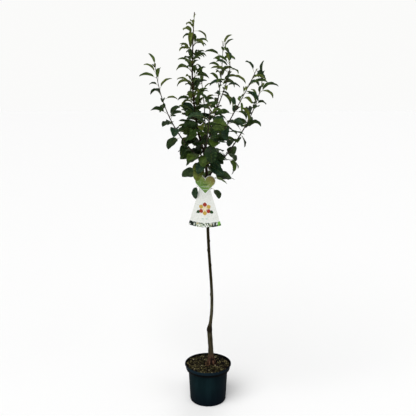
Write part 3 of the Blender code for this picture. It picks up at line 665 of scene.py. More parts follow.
def nodeSolid(node):
    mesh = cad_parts[node].data
    return asSolid([v.co.copy() for v in mesh.vertices], [list(p.vertices) for p in mesh.polygons])


def touch(one, other):
    if (one.centre - other.centre).length > one.reach + other.reach:
        return False
    return bool(one.tree.overlap(other.tree))


def isClear(owner, whole, blade, stem, limbs, grown):
    if touch(blade, stem):
        return False
    if any(touch(whole, limb) for name, limb in limbs if name != owner):
        return False
    for name, otherWhole, otherBlade in grown:
        if name != owner:
            if touch(whole, otherWhole):
                return False
        elif touch(blade, otherWhole) or touch(whole, otherBlade):
            return False
    return True


def growLeaves(mass, limbs, grown):
    owner, stem = "stem_" + mass.name, asSolid(*mass.stem)
    leaves = []
    for number in range(mass.count):
        seed = mass.seeds[number * len(mass.seeds) // mass.count]
        rng = random.Random(seed * leafForm["seedStep"] + number)
        for _ in range(leafForm["tries"]):
            leaf = mass.draw(number, rng)
            whole = asSolid(*leafHull(leaf, leafForm["clearance"]))
            blade = asSolid(*leafHull(leaf, leafForm["clearance"], bladeOnly=True))
            if isClear(owner, whole, blade, stem, limbs, grown):
                grown.append((owner, asSolid(*leafHull(leaf)), asSolid(*leafHull(leaf, bladeOnly=True))))
                leaves.append(leaf)
                break
    return leaves


def listMasses():
    masses = []
    for name, shoot in dict(shoots, top=topShoot()).items():
        low = leafyFrom(shoot)
        draw = lambda number, rng, shoot=shoot, low=low: shootLeaf(shoot, low, number, rng)
        masses.append(massRow(name, shootHull(shoot, low, 1.0), draw, shoot.leaves, shoot.seeds))
    for name, spur in allSpurs.items():
        draw = lambda number, rng, spur=spur: spurLeaf(spur, number, rng)
        masses.append(massRow(name, spurHull(spur), draw, spur.leaves, (spur.seed,)))
    return masses


def growCrown():
    limbs = [("trunk", nodeSolid("trunk"))]
    for name, shoot in shoots.items():
        limbs.append((name, asSolid(*shootHull(shoot, shootForm["clear"], shoot.bare))))
    limbs += [(name, nodeSolid(name)) for name in ("label_card", "label_heart", "label_band")]
    masses = listMasses()
    limbs += [("stem_" + mass.name, asSolid(*mass.stem)) for mass in masses]
    grown = []
    return {mass.name: growLeaves(mass, limbs, grown) for mass in masses}


crown = growCrown()
print("stage: crown grown,", sum(len(leaves) for leaves in crown.values()), "leaves")


# Leaves: ovate blades folded on the midrib, quilted between the side veins, with a wavy margin

leafLook = {
    "stations": (0.025, 0.09, 0.17, 0.255, 0.34, 0.425, 0.51, 0.595, 0.68, 0.765, 0.85, 0.93),
    "columns": (-1.0, -0.5, 0.0, 0.5, 1.0),
    "basePower": 0.58, "tipPower": 0.74,  # the outline is t**base * (1 - t)**tip
    "fullness": 0.93,  # of the source's width, whose outline has corners
    "sweep": 0.17, "sweepFrom": 0.25,  # side veins run forward from the midrib
    "thickness": 0.0006, "quilt": 0.0009, "bow": 0.24, "wave": 0.08, "waves": 2.3,
    "tipCurl": (0.004, 5),  # how far the drawn-out tip hooks down, and how late it starts
    "stalkShares": (0.0, 0.12, 0.35, 0.65, 1.0), "stalkFoot": 1.7, "stalkSides": 5,
    "ribSteps": 5, "ribReach": 0.88, "ribRadii": (0.0008, 0.0003),
    "seed": 7, "mainShare": 0.45,  # of a spray's leaves keep its own green
    "upperRoughness": 0.44, "underRoughness": 0.62,
    "stalkRoughness": 0.5, "stalkColour": (0.110, 0.115, 0.024),
    "spread": (0.72, 1.60),  # of a colour, in its darker and lighter patches
}
leafFinish = {
    "specular": 0.10, "mottle": {"scale": 55, "stretch": 1, "edge": (0.35, 0.68)},
    "relief": {"coarse": 160, "fine": 900, "stretch": 1, "depth": 0.0006},
}
# Low in the crown the darker greens lead and high in it the paler, more olive ones: partly the leaves' own
# tone, partly painted light on the crown's top and painted shade below.
leafGreens = {  # shares low and high in the crown, upper side, underside
    "leafDeep": (0.34, 0.08, (0.007, 0.018, 0.004), (0.022, 0.042, 0.012)),
    "leafDark": (0.32, 0.18, (0.014, 0.031, 0.005), (0.032, 0.057, 0.014)),
    # Painted sheen: this kind is tinted blue, as glossy leaves look where they reflect the bright
    # surroundings.
    "leafBlue": (0.12, 0.06, (0.009, 0.026, 0.011), (0.030, 0.056, 0.024)),
    "leafGreen": (0.18, 0.38, (0.036, 0.063, 0.008), (0.048, 0.080, 0.017)),
    "leafOlive": (0.01, 0.30, (0.072, 0.092, 0.013), (0.085, 0.112, 0.026)),
}
youngForm = {  # the young pale leaves that unfold at each shoot's end
    "seed": 3, "count": 3, "sizes": (0.75, 1), "petiole": 0.2, "stalkTurn": 0.02, "turn": -18,
    "halfWidth": 0.17, "fold": 50, "roll": 0, "colour": (0.230, 0.260, 0.110), "roughness": 0.6,
    "length": 0.017, "lean": (8, 22), "aimFrom": 0.97,  # the share of a shoot that its end aims away from
    "leaderLength": 0.027, "leaderLean": (2, 9), "leaderFrom": 2.020, "leaderAim": 0.02,
}
uprightForm = {  # a grown leaf that stands up at a shoot's end
    "shoot": "left", "heading": 185, "rises": (80, -4, -34), "petiole": 0.020, "length": 0.054,
    "halfWidth": 0.20, "fold": 35, "roll": 50, "kind": "leafGreen",
}


def bladeWidth(t):  # 1 at its widest
    low, high = leafLook["basePower"], leafLook["tipPower"]
    widest = low / (low + high)
    return (t / widest) ** low * ((1 - t) / (1 - widest)) ** high


def bladeShape(leaf, rng):
    look = leafLook
    curl, curlPower = look["tipCurl"]
    phases = (rng.uniform(0, 2 * math.pi), rng.uniform(0, 2 * math.pi))
    upper, lower = [], []
    for i, station in enumerate(look["stations"]):
        swept = look["sweep"] * min(1, station / look["sweepFrom"]) * (1 - station)
        for column in look["columns"]:
            out = abs(column)
            t = station + swept * out
            point, there = bladePoint(leaf, t)
            side, over = leafAxes(leaf.heading, there, leaf.roll)
            half = leaf.halfWidth * look["fullness"] * bladeWidth(t)
            phase = phases[0] if column < 0 else phases[1]
            wave = look["wave"] * out ** 3 * math.sin(look["waves"] * 2 * math.pi * t + phase)
            between = 1 if i % 2 else -1  # raised between two veins, sunken on them
            quilt = look["quilt"] * between * 4 * out * (1 - out) * bladeWidth(t)
            lift = half * (out * math.sin(leaf.fold) + look["bow"] * out * (1 - out) + wave) + quilt
            spot = point + side * column * half * math.cos(leaf.fold) + over * (lift - curl * t ** curlPower)
            thick = over * look["thickness"] / 2 * (1 - out ** 2)
            upper.append(spot + thick)
            lower.append(spot - thick)
    tip, there = bladePoint(leaf, 1.0)
    tip -= leafAxes(leaf.heading, there, leaf.roll)[1] * curl
    return stalkPoint(leaf, 1.0)[0], upper, lower, tip


def bladeFaces(place):  # one side's faces, from its points row by row
    columns, rows = len(leafLook["columns"]), len(leafLook["stations"])
    faces = [[place[i] for i in face] for face in gridFaces(rows, columns)]
    for k in range(columns - 1):
        faces.append([0, place[k + 1], place[k]])
        last = (rows - 1) * columns + k
        faces.append([1, place[last], place[last + 1]])
    return faces


def addBlade(store, leaf, rng):
    base, upper, lower, tip = bladeShape(leaf, rng)
    columns = len(leafLook["columns"])
    verts = [base, tip] + upper
    under = []
    for i, spot in enumerate(lower):  # the margin's points are shared by both sides
        if i % columns in (0, columns - 1):
            under.append(2 + i)
        else:
            under.append(len(verts))
            verts.append(spot)
    above = bladeFaces([2 + i for i in range(len(upper))])
    below = [face[::-1] for face in bladeFaces(under)]
    addShape(store, verts, above + below, [0] * len(above) + [1] * len(below))


def stalkShape(leaf):  # the petiole and, on from it, the midrib
    look = leafLook
    points = [stalkPoint(leaf, share)[0] for share in look["stalkShares"]]
    radii = [leafForm["petioleRadius"]] * len(points)
    radii[0] *= look["stalkFoot"]
    for i in range(1, look["ribSteps"] + 1):
        points.append(bladePoint(leaf, look["ribReach"] * i / look["ribSteps"])[0])
        radii.append(mix(look["ribRadii"], i / look["ribSteps"]))
    return ringTube(points, radii, look["stalkSides"])


def leafMaterial(name, colour, roughness):
    darker, lighter = (tuple(v * share for v in colour) for share in leafLook["spread"])
    return mottledMaterial(name, roughness, (darker, lighter), leafFinish)


def leafAtEnd(form, root, heading, rises, petiole, length):
    fold, roll = math.radians(form["fold"]), math.radians(form["roll"])
    return leafRow(root, heading, rises, petiole, length, length * form["halfWidth"], fold, roll)


def youngLeaves():
    form = youngForm
    rng = random.Random(form["seed"])
    ends = []  # place, the place before it, length and lean of its leaves
    for shoot in shoots.values():
        ends.append((shootPoint(shoot, 1), shootPoint(shoot, form["aimFrom"]), form["length"], form["lean"]))
    leader = trunkCentre(form["leaderFrom"])
    ends.append((leader, trunkCentre(leader.z - form["leaderAim"]), form["leaderLength"], form["leaderLean"]))
    leaves = []
    for end, before, length, leans in ends:
        ahead = (end - before).normalized()
        turn = rng.uniform(0, 2 * math.pi)
        for i in range(form["count"]):
            lean = math.radians(rng.uniform(*leans))
            out = ahead + level(turn + i * goldenTurn) * math.tan(lean)
            size = length * rng.uniform(*form["sizes"])
            rises = (math.asin(out.normalized().z), form["stalkTurn"], math.radians(form["turn"]))
            leaves.append(leafAtEnd(form, end, math.atan2(out.y, out.x), rises, size * form["petiole"], size))
    return leaves


def uprightLeaf():
    form = uprightForm
    rises = [math.radians(value) for value in form["rises"]]
    root = shootPoint(shoots[form["shoot"]], 1)
    return leafAtEnd(form, root, math.radians(form["heading"]), rises, form["petiole"], form["length"])


def makeLeaves():
    look = leafLook
    rng = random.Random(look["seed"])
    kinds = list(leafGreens)
    stores = {kind: newStore() for kind in kinds}
    nodesOf = {kind: [] for kind in kinds}
    stalks, young = newStore(), newStore()

    def addLeaf(leaf, kind):
        addBlade(stores[kind], leaf, rng)
        addShape(stalks, *stalkShape(leaf))

    for mass, leaves in crown.items():
        main = None  # a spray keeps mostly to one green
        for leaf in leaves:
            weights = [mix(leafGreens[kind][:2], crownShare(leaf.root.z)) for kind in kinds]
            main = main or rng.choices(kinds, weights)[0]
            addLeaf(leaf, main if rng.random() < look["mainShare"] else rng.choices(kinds, weights)[0])
        nodesOf[main or kinds[0]].append("foliage_" + mass)
    addLeaf(uprightLeaf(), uprightForm["kind"])
    for kind, (_, _, upper, under) in leafGreens.items():
        over = leafMaterial(kind, upper, look["upperRoughness"])
        below = leafMaterial(kind + "Under", under, look["underRoughness"])
        makePiece(kind, stores[kind], [over, below], nodesOf[kind])
    for leaf in youngLeaves():
        addBlade(young, leaf, rng)
    youngLook = leafMaterial("youngLeaf", youngForm["colour"], youngForm["roughness"])
    makePiece("youngLeaves", young, [youngLook, youngLook])
    stalkLook = leafMaterial("petiole", look["stalkColour"], look["stalkRoughness"])
    makePiece("leafStalks", stalks, [stalkLook])


makeLeaves()
print("stage: leaves")


# Bark: trunk, shoots and spurs with their relief

barkForm = {
    "sides": 28, "ringStep": 0.007, "fineStep": 0.0028, "fineReach": 0.055,
    "grain": (2.2, 45, 0), "lumps": (1.1, 14, 9), "ribDrift": (1.5, 20, 0), "callusLumps": (2, 0, 3),
    "footFurrow": 0.0016, "furrow": 0.0003, "furrowReach": 0.03, "lumpShare": 0.8, "smoothEnd": 0.4,
    "rootRibs": 0.0022, "ribCount": 9, "ribFade": 0.030, "ribBend": 3,
    "nodeStep": 0.031, "nodeSwell": 0.0007, "nodesAbove": 0.5, "nodeReach": 0.13, "nodeEnd": 0.3,
    "knots": (  # height, way it faces in degrees, size
        (0.470, 150, 0.0016), (0.545, 300, 0.0012), (0.602, 200, 0.0026), (0.688, 40, 0.0012),
        (0.768, 330, 0.0024), (0.848, 190, 0.0026), (0.900, 350, 0.0026), (0.965, 120, 0.0014),
        (1.060, 20, 0.0015), (1.130, 190, 0.0018), (1.190, 310, 0.0014),
    ),
    "knotReach": 0.006, "knotFocus": 4,
    "callus": 0.0011, "callusBelow": 0.010, "callusReach": 0.004,  # the ring that the graft healed with
    "callusVaries": 0.6,
}
barkLook = {
    "roughness": 0.85, "specular": 0.03,
    "ramp": (  # share of the height, and the colour there
        (0.000, (0.075, 0.034, 0.019)), (0.022, (0.066, 0.036, 0.022)), (0.045, (0.042, 0.035, 0.020)),
        (0.098, (0.044, 0.039, 0.023)), (0.106, (0.010, 0.007, 0.004)), (0.119, (0.013, 0.009, 0.005)),
        (0.130, (0.042, 0.036, 0.021)), (0.165, (0.052, 0.048, 0.029)), (0.228, (0.044, 0.041, 0.025)),
        (0.255, (0.024, 0.020, 0.009)), (0.290, (0.015, 0.012, 0.004)), (0.480, (0.014, 0.010, 0.004)),
        (0.640, (0.017, 0.010, 0.005)), (0.900, (0.024, 0.011, 0.006)), (0.955, (0.060, 0.044, 0.022)),
        (1.000, (0.150, 0.165, 0.085)),
    ),
    "streaks": {"patch": (0.010, 0.008, 0.004), "scale": 150, "stretch": 0.16, "edge": (0.52, 0.66)},
    "pale": {"patch": (0.090, 0.078, 0.050), "scale": 210, "stretch": 0.4, "edge": (0.65, 0.78)},
    "fibres": {
        "colour": (0.110, 0.056, 0.034), "patch": (0.011, 0.006, 0.005), "scale": 120, "stretch": 0.30,
        "edge": (0.42, 0.54),
    },
    "fibreTop": (0.266, 0.236),  # the heights between which the foot turns fibrous
    "relief": {"coarse": 150, "fine": 700, "stretch": 0.4, "depth": 0.0012},
}
twigForm = {
    "sides": 8, "rings": 110, "taper": 1.5, "nodeSwell": 0.0006, "nodeReach": 0.10,
    "flare": 0.9, "flareReach": 0.020,
    "spurRing": 0.0022, "spurRings": 8, "spurRingSwell": 0.16, "spurFlare": 0.7, "spurFlareReach": 0.008,
    "shootColours": ((0.034, 0.020, 0.017), (0.018, 0.011, 0.009)), "shootRoughness": 0.6,
    "spurColours": ((0.044, 0.028, 0.020), (0.020, 0.013, 0.010)), "spurRoughness": 0.7,
}
twigFinish = {
    "specular": 0.12, "mottle": {"scale": 260, "stretch": 0.5, "edge": (0.48, 0.62)},
    "relief": {"coarse": 300, "fine": 1200, "stretch": 0.5, "depth": 0.0005},
}


def barkNoise(name, height, angle):  # how fine it is around the trunk and up it, and its offset
    wide, up, offset = barkForm[name]
    return noise.noise(Vector((math.cos(angle) * wide, math.sin(angle) * wide, height * up + offset)))


def knotSwell(height, angle):
    swell = 0
    for at, facing, size in barkForm["knots"]:
        near = math.exp(-((height - at) / barkForm["knotReach"]) ** 2)
        swell += size * near * max(0, math.cos(angle - math.radians(facing))) ** barkForm["knotFocus"]
    return swell


def barkRadius(height, angle):
    form = barkForm
    aboveGraft, belowTip = height - trunkForm["graft"], trunkForm["tip"] - height
    low = math.exp(-max(0, aboveGraft) / form["furrowReach"])
    depth = mix((form["furrow"], form["footFurrow"]), low) * min(1, belowTip / form["smoothEnd"])
    relief = barkNoise("grain", height, angle) + form["lumpShare"] * barkNoise("lumps", height, angle)
    radius = trunkRadius(height, angle) + depth * relief + knotSwell(height, angle)
    ribs = math.cos(form["ribCount"] * angle + form["ribBend"] * barkNoise("ribDrift", height, angle))
    radius += form["rootRibs"] * ribs * math.exp(-(height - trunkForm["foot"]) / form["ribFade"])
    ring = (aboveGraft + form["callusBelow"]) / form["callusReach"]
    lumps = form["callusVaries"] + form["callusVaries"] * barkNoise("callusLumps", height, angle)
    radius += form["callus"] * math.exp(-ring ** 2) * lumps
    if height > trunkForm["graft"] + form["nodesAbove"]:
        number = aboveGraft / form["nodeStep"]
        swell = math.exp(-(((number % 1) - 0.5) / form["nodeReach"]) ** 2)
        facing = max(0, math.cos(angle - math.floor(number) * goldenTurn)) ** 2
        radius += form["nodeSwell"] * swell * facing * min(1, belowTip / form["nodeEnd"])
    return radius


def trunkShape():
    form = barkForm
    heights = [trunkForm["foot"] + gap]
    while heights[-1] < trunkForm["tip"]:
        low = heights[-1]
        near = min(low - trunkForm["foot"], abs(low - trunkForm["graft"])) < form["fineReach"]
        heights.append(min(low + (form["fineStep"] if near else form["ringStep"]), trunkForm["tip"]))
    verts = []
    for height in heights:
        for angle in turns(form["sides"]):
            verts.append(trunkCentre(height) + level(angle) * barkRadius(height, angle))
    return verts, tubeFaces(len(heights), form["sides"])


def shootShape(shoot):
    form = twigForm
    length = (shootPoint(shoot, 0.5) - shootPoint(shoot, 0)).length * 2
    low = leafyFrom(shoot)
    points, radii = [], []
    for i in range(form["rings"] + 1):
        t = i / form["rings"]
        leafShare = (t - low) / (shoot.leafy - low)
        swell = 0
        if leafShare > shootForm["leafySpan"][0]:  # a joint where each leaf stands
            swell = math.exp(-((leafShare * shoot.leaves % 1 - 0.5) / form["nodeReach"]) ** 2)
        foot = form["flare"] * math.exp(-t * length / form["flareReach"])
        points.append(shootPoint(shoot, t))
        radius = mix((shoot.radius, shootForm["tipRadius"]), t ** form["taper"])
        radii.append(radius * (1 + foot) + form["nodeSwell"] * swell)
    return ringTube(points, radii, form["sides"])


def spurShape(spur):
    form = twigForm
    count = max(form["spurRings"], round(spur.length / form["spurRing"]))
    points, radii = [], []
    for i in range(count + 1):
        share = i / count
        points.append(spurPoint(spur, share))
        ringed = 1 + form["spurRingSwell"] * (i % 2)  # the rings that each year's growth leaves
        foot = 1 + form["spurFlare"] * math.exp(-share * spur.length / form["spurFlareReach"])
        radii.append(mix((spurForm["radius"], spurForm["tipRadius"]), share) * ringed * foot)
    return ringTube(points, radii, form["sides"])


def barkMaterial():
    form = barkLook
    look = newMaterial("bark", form["roughness"], form["specular"])
    tree = look.node_tree
    height = objectAxes(tree)["Z"]
    share = addRange(tree, height, trunkForm["foot"], trunkForm["tip"])
    streaked = addMottle(tree, addRamp(tree, share, form["ramp"]), **form["streaks"])
    pale = addMottle(tree, streaked, **form["pale"])
    atFoot = addRange(tree, height, *form["fibreTop"])
    paint(look, addBlend(tree, atFoot, pale, addMottle(tree, **form["fibres"])))
    addRelief(look, **form["relief"])
    return look


def makeBark():
    form = twigForm
    store = newStore(*trunkShape())
    for shoot in shoots.values():
        addShape(store, *shootShape(shoot), kind=1)
    shootLook = mottledMaterial("shootBark", form["shootRoughness"], form["shootColours"], twigFinish)
    boughs = ["bough_" + name for name in shoots]
    piece = makePiece("bark", store, [barkMaterial(), shootLook], ["trunk"] + boughs, sharpAngle=50)
    store = newStore()
    for spur in allSpurs.values():
        addShape(store, *spurShape(spur))
    look = mottledMaterial("spurBark", form["spurRoughness"], form["spurColours"], twigFinish)
    makePiece("spurs", store, [look])
    return piece


barkPiece = makeBark()
print("stage: bark")


# Lenticels: pale corky dots that stand a little out of the bark

lenticelForm = {
    "density": 3400, "low": (0.5, 0.35, 0.4), "high": (1.5, 0.6, 0.9), "radius": 0.0009, "seed": 5,
    "colours": ((0.120, 0.100, 0.066), (0.065, 0.050, 0.034)), "roughness": 0.85,
    "specular": 0.15, "mottle": {"scale": 900, "stretch": 1, "edge": (0.4, 0.6)},
}


def makeLenticels():
    form = lenticelForm
    look = mottledMaterial("lenticel", form["roughness"], form["colours"], form)
    tree, inputs, outputs = newTree("lenticels", Density="Float", Radius="Float", Look="Material")
    spread = addSpread(tree, inputs["Geometry"], inputs["Density"], form["seed"])
    dot = addNode(tree, "GeometryNodeMeshIcoSphere", {"Radius": inputs["Radius"], "Subdivisions": 1}, "Mesh")
    size = randomVector(tree, form["low"], form["high"], form["seed"])
    dots = addInstances(tree, spread["Points"], dot, spread["Rotation"], size)
    feed(tree, outputs["Geometry"], addDress(tree, addRealize(tree, dots), inputs["Look"]))
    settings = {"Density": form["density"], "Radius": form["radius"], "Look": look}
    placePiece("lenticels", runTree("lenticels", barkPiece.data.copy(), tree, settings))


makeLenticels()
print("stage: lenticels")


# Buds: one in the angle over each leaf's foot, and a larger one on each shoot's end

budForm = {
    "radius": 0.0013, "length": 0.0042, "sides": 7, "rings": 6, "onSpur": 0.8, "onTip": 1.9, "onLeader": 2.4,
    "lean": 0.55,  # how far a bud in a leaf's angle leans out from its stem
    "aimFrom": 0.95,  # the share of a shoot from which its end bud aims
    "colours": ((0.060, 0.034, 0.024), (0.115, 0.100, 0.052)), "roughness": 0.55,
    "specular": 0.25, "mottle": {"scale": 420, "stretch": 0.5, "edge": (0.5, 0.6)},
}


def budRows():  # place, way it points and size of each bud
    form = budForm
    up = Vector((0, 0, 1))
    rows = []
    for name, leaves in crown.items():
        reach, size = shootForm["tipRadius"], 1.0
        if name not in shoots:
            reach, size = spurForm["tipRadius"], form["onSpur"]
        for leaf in leaves:
            out = level(leaf.heading)
            rows.append((leaf.root + out * reach, (out * form["lean"] + up).normalized(), size))
    for shoot in shoots.values():
        end = shootPoint(shoot, 1)
        rows.append((end, (end - shootPoint(shoot, form["aimFrom"])).normalized(), form["onTip"]))
    rows.append((trunkCentre(trunkForm["tip"]), up, form["onLeader"]))
    return rows


def budGuide():  # a point for each bud, with its way and its size
    places, ways, sizes = zip(*budRows())
    guide = bpy.data.meshes.new("budPlaces")
    guide.from_pydata([tuple(place) for place in places], [], [])
    ahead = guide.attributes.new("ahead", "FLOAT_VECTOR", "POINT")
    ahead.data.foreach_set("vector", [value for way in ways for value in way])
    guide.attributes.new("size", "FLOAT", "POINT").data.foreach_set("value", sizes)
    return guide


def makeBuds():
    form = budForm
    look = mottledMaterial("budScale", form["roughness"], form["colours"], form)
    tree, inputs, outputs = newTree("buds", Radius="Float", Length="Float", Look="Material")
    ahead = addReading(tree, "ahead", data_type="FLOAT_VECTOR")
    turn = addNode(tree, "FunctionNodeAlignRotationToVector", {"Vector": ahead}, "Rotation", axis="Z")
    ball = {"Segments": form["sides"], "Rings": form["rings"], "Radius": inputs["Radius"]}
    body = addNode(tree, "GeometryNodeMeshUVSphere", ball, "Mesh")
    spot = addNode(tree, "GeometryNodeInputPosition", output="Position")
    height = addNode(tree, "ShaderNodeSeparateXYZ", {"Vector": spot}, "Z")
    stretch = {"Value": height, "From Max": inputs["Radius"], "To Max": inputs["Length"]}
    lift = addNode(tree, "ShaderNodeMapRange", stretch, "Result")  # round below, drawn out to a point above
    pointed = addMove(tree, body, addNode(tree, "ShaderNodeCombineXYZ", {"Z": lift}, "Vector"))
    buds = addInstances(tree, inputs["Geometry"], pointed, turn, addReading(tree, "size"))
    feed(tree, outputs["Geometry"], addDress(tree, addRealize(tree, buds), inputs["Look"]))
    settings = {"Radius": form["radius"], "Length": form["length"], "Look": look}
    placePiece("buds", runTree("buds", budGuide(), tree, settings))


makeBuds()
print("stage: buds")


# Pot: a turned nursery pot with a stepped collar, a rolled rim and drain holes in its foot

potForm = {
    "height": 0.209, "footRadius": 0.0985, "neckRadius": 0.1075, "collarHeight": 0.030,
    "collarFootRadius": 0.120, "rimRadius": 0.127, "lip": 0.0025, "wall": 0.0025, "floor": 0.003,
    "footRound": 0.008, "footSteps": 6, "innerFootRound": 0.0056,
    "bends": ((0.30, 0.33), (0.66, 0.68)),  # of the wall: share out, share up
    "neckRound": 0.0006, "collarRound": 0.002, "collarCorner": 0.3, "bead": 0.005, "beadRound": 0.001,
    "rimCurve": (  # in from the rim's edge, down from its top
        (0.0005, 0.0053), (0, 0.0042), (0, 0.0016), (0.0006, 0.0004), (0.0018, 0),
    ),
    "rimCorner": 0.0008, "segments": 96, "holes": 8, "holeRadius": 0.006, "holeRing": 0.076, "holeSides": 16,
}
potLook = {
    "roughness": 0.62, "specular": 0.02,
    "plastic": {
        "colour": (0.0026, 0.0092, 0.0112), "patch": (0.0044, 0.0140, 0.0168), "scale": 34, "stretch": 0.16,
        "edge": (0.42, 0.72),
    },
    "dust": {"patch": (0.018, 0.022, 0.022), "scale": 75, "stretch": 0.45, "edge": (0.70, 0.86)},
    "collar": {
        "colour": (0.0056, 0.0136, 0.0205), "patch": (0.034, 0.046, 0.054), "scale": 48, "stretch": 2.4,
        "edge": (0.60, 0.82),
    },
    # The three colours below are painted shade: for the right side and the foot, for a shadow band under the
    # collar, and for the inner wall above the step.
    "shade": (0.0010, 0.0018, 0.0050), "collarShadow": (0.0006, 0.0012, 0.0020), "inner": (0.0012, 0.0012, 0.0009),
    "shadeRight": 1.15,  # painted shade on its right, full at this share of the rim's radius
    "shadeFoot": (0.62, -0.12),  # painted shade towards its foot too, by shares of the wall's height
    "under": (0.008, 0.0048),  # how far under the collar its painted shadow begins and is full
    "change": 0.001,  # the width of the change at the collar and at the lip
    "relief": {"coarse": 60, "fine": 900, "stretch": 0.3, "depth": 0.0004},
}


def turned(profile, segments):  # a profile of radius and height, turned round Z
    verts, rows = [], []
    for radius, height in profile:
        if radius == 0:
            rows.append([len(verts)] * segments)
            verts.append(Vector((0, 0, height)))
            continue
        rows.append([len(verts) + i for i in range(segments)])
        for angle in turns(segments):
            verts.append(Vector((radius * math.cos(angle), radius * math.sin(angle), height)))
    faces = []
    for low, high in zip(rows, rows[1:]):
        for i, k in around(segments):
            faces.append(list(dict.fromkeys([low[i], low[k], high[k], high[i]])))
    return verts, faces


def potProfile():
    form = potForm
    top, wall, rim, lip = form["height"], form["wall"], form["rimRadius"], form["rimRadius"] - form["lip"]
    foot, neck, collar = form["footRadius"], form["neckRadius"], form["collarFootRadius"]
    step = top - form["collarHeight"]
    corner = form["collarRound"] * form["collarCorner"]
    slope = (lip - collar) / form["collarHeight"]
    profile = [(0, 0)]
    for i in range(form["footSteps"] + 1):
        turn = math.radians(90 * i / form["footSteps"])
        out, up = 1 - math.sin(turn), 1 - math.cos(turn)
        profile.append((foot - form["footRound"] * out, form["footRound"] * up))
    profile += [(mix((foot, neck), out), step * up) for out, up in form["bends"]]
    profile += [
        (neck, step - form["neckRound"]), (neck + form["neckRound"], step),
        (collar - form["collarRound"], step), (collar - corner, step + corner),
        (collar, step + form["collarRound"]), (lip, top - form["bead"] - form["beadRound"]),
    ]
    profile += [(rim - inward, top - down) for inward, down in form["rimCurve"]]
    profile += [
        (lip - wall + form["rimCorner"], top), (lip - wall, top - form["rimCorner"]),
        (collar - wall + slope * wall, step + wall), (neck - wall, step + wall),
        (foot - wall, form["footRound"]),
        (foot - wall - form["innerFootRound"], form["floor"]), (0, form["floor"]),
    ]
    return profile


def drillHoles(piece):  # the drain holes, cut with a ring of plugs
    form = potForm
    plugs = newStore()
    for angle in turns(form["holes"]):
        middle = level(angle) * form["holeRing"]
        ends = [middle + Vector((0, 0, height)) for height in (-form["floor"], 2 * form["floor"])]
        addShape(plugs, *ringTube(ends, [form["holeRadius"]] * 2, form["holeSides"]))
    tool = addObject("plugs", makeMesh("plugs", plugs, []))
    piece.modifiers.new("drill", "BOOLEAN").object = tool
    mesh = takeMesh(piece)
    bpy.data.objects.remove(tool, do_unlink=True)
    return mesh


def potMaterial():
    form = potLook
    look = newMaterial("potPlastic", form["roughness"], form["specular"])
    tree = look.node_tree
    step = potForm["height"] - potForm["collarHeight"]
    lip = potForm["rimRadius"] - potForm["lip"] - potForm["wall"]
    axes = objectAxes(tree)
    # Painted shade: the body and collar darker on the right, and the body darker towards its foot.
    rightShade = addRange(tree, axes["X"], 0.0, potForm["rimRadius"] * form["shadeRight"])
    footShade = addRange(tree, axes["Z"], *[step * share for share in form["shadeFoot"]])
    # Painted shadow: a dark band on the body just under the overhanging collar.
    underCollarShadow = addRange(tree, axes["Z"], *[step - down for down in form["under"]])
    onCollar = addRange(tree, axes["Z"], step, step + form["change"])
    body = addMottle(tree, addMottle(tree, **form["plastic"]), **form["dust"])
    for share, colour in ((rightShade, "shade"), (footShade, "shade"), (underCollarShadow, "collarShadow")):
        body = addBlend(tree, share, body, form[colour])
    collar = addBlend(tree, rightShade, addMottle(tree, **form["collar"]), form["shade"])
    outside = addBlend(tree, onCollar, body, collar)
    # Painted shade: the inner wall above the collar step painted near black.
    inward = addRange(tree, flatPart(tree, axes, "XY")[1], lip + form["change"], lip)
    upper = addRange(tree, axes["Z"], step + potForm["wall"] * 0.5, step + potForm["wall"])
    innerShade = addNode(tree, "ShaderNodeMath", {0: inward, 1: upper}, "Value", operation="MULTIPLY")
    paint(look, addBlend(tree, innerShade, outside, form["inner"]))
    addRelief(look, **form["relief"])
    return look


def makePot():
    store = newStore(*turned(potProfile(), potForm["segments"]))
    mesh = drillHoles(addObject("shell", makeMesh("shell", store, [potMaterial()])))
    mesh.name = "potShell"
    placePiece("potShell", mesh, ["pot"], sharpAngle=30)


makePot()
print("stage: pot")


# Soil: dark compost, and over it a loose layer of bark chips by Geometry Nodes

soilForm = {
    "top": 0.199, "radius": 0.1185, "rings": 14, "segments": 56, "depth": 0.018, "taper": 0.001,
    "relief": 0.003, "grain": 55, "sunk": 0.35, "flatFrom": 0.97,  # the flat edge, a share of the radius
    "colours": ((0.006, 0.004, 0.003), (0.016, 0.011, 0.007)), "roughness": 0.95,
}
soilFinish = {
    "specular": 0.03, "mottle": {"scale": 140, "stretch": 1, "edge": (0.45, 0.6)},
    "relief": {"coarse": 220, "fine": 900, "stretch": 1, "depth": 0.003},
}
chipForm = {
    "ring": (0.027, 0.1125), "ringSides": 48, "layer": (0.1985, 0.2045), "density": 24000, "seed": 11,
    "size": (0.0140, 0.0056, 0.0028), "cuts": (4, 3), "scales": ((0.5, 0.6, 0.6), (1.5, 1.3, 1.5)),
    "tilt": 0.55, "rough": 0.0018, "grain": 120, "roughness": 0.9,
    "heapSeed": 2, "turnSeed": 3, "scaleSeed": 4, "toneSeed": 5,
    "footReach": 0.036, "footShare": 0.35,  # near the trunk some chips are reddish
    # Painted shade: right of and behind the trunk, this share of the chips within this reach of the spot is
    # near black.
    "shadeSpot": (0.078, 0.044, 0.2), "shadeSpotReach": 0.047, "shadeSpotShare": 0.82,
}
chipLooks = {  # from a random tone of 0 to 1: colour and darker patches
    "chipBrown": (0.00, (0.010, 0.007, 0.005), (0.005, 0.004, 0.003)),
    "chipOlive": (0.48, (0.041, 0.037, 0.014), (0.012, 0.011, 0.005)),
    "chipTan": (0.76, (0.120, 0.102, 0.046), (0.044, 0.036, 0.016)),
    "chipPale": (0.975, (0.240, 0.215, 0.135), (0.110, 0.092, 0.055)),
    "chipRed": (None, (0.070, 0.032, 0.018), (0.024, 0.012, 0.008)),
    # painted shade: a near-black chip colour for the shaded spot right of the trunk
    "chipShade": (None, (0.006, 0.005, 0.004), (0.003, 0.003, 0.003)),
}
chipFinish = {
    "specular": 0.04, "mottle": {"scale": 240, "stretch": 1, "edge": (0.42, 0.66)},
    "relief": {"coarse": 500, "fine": 1500, "stretch": 1, "depth": 0.0008},
}


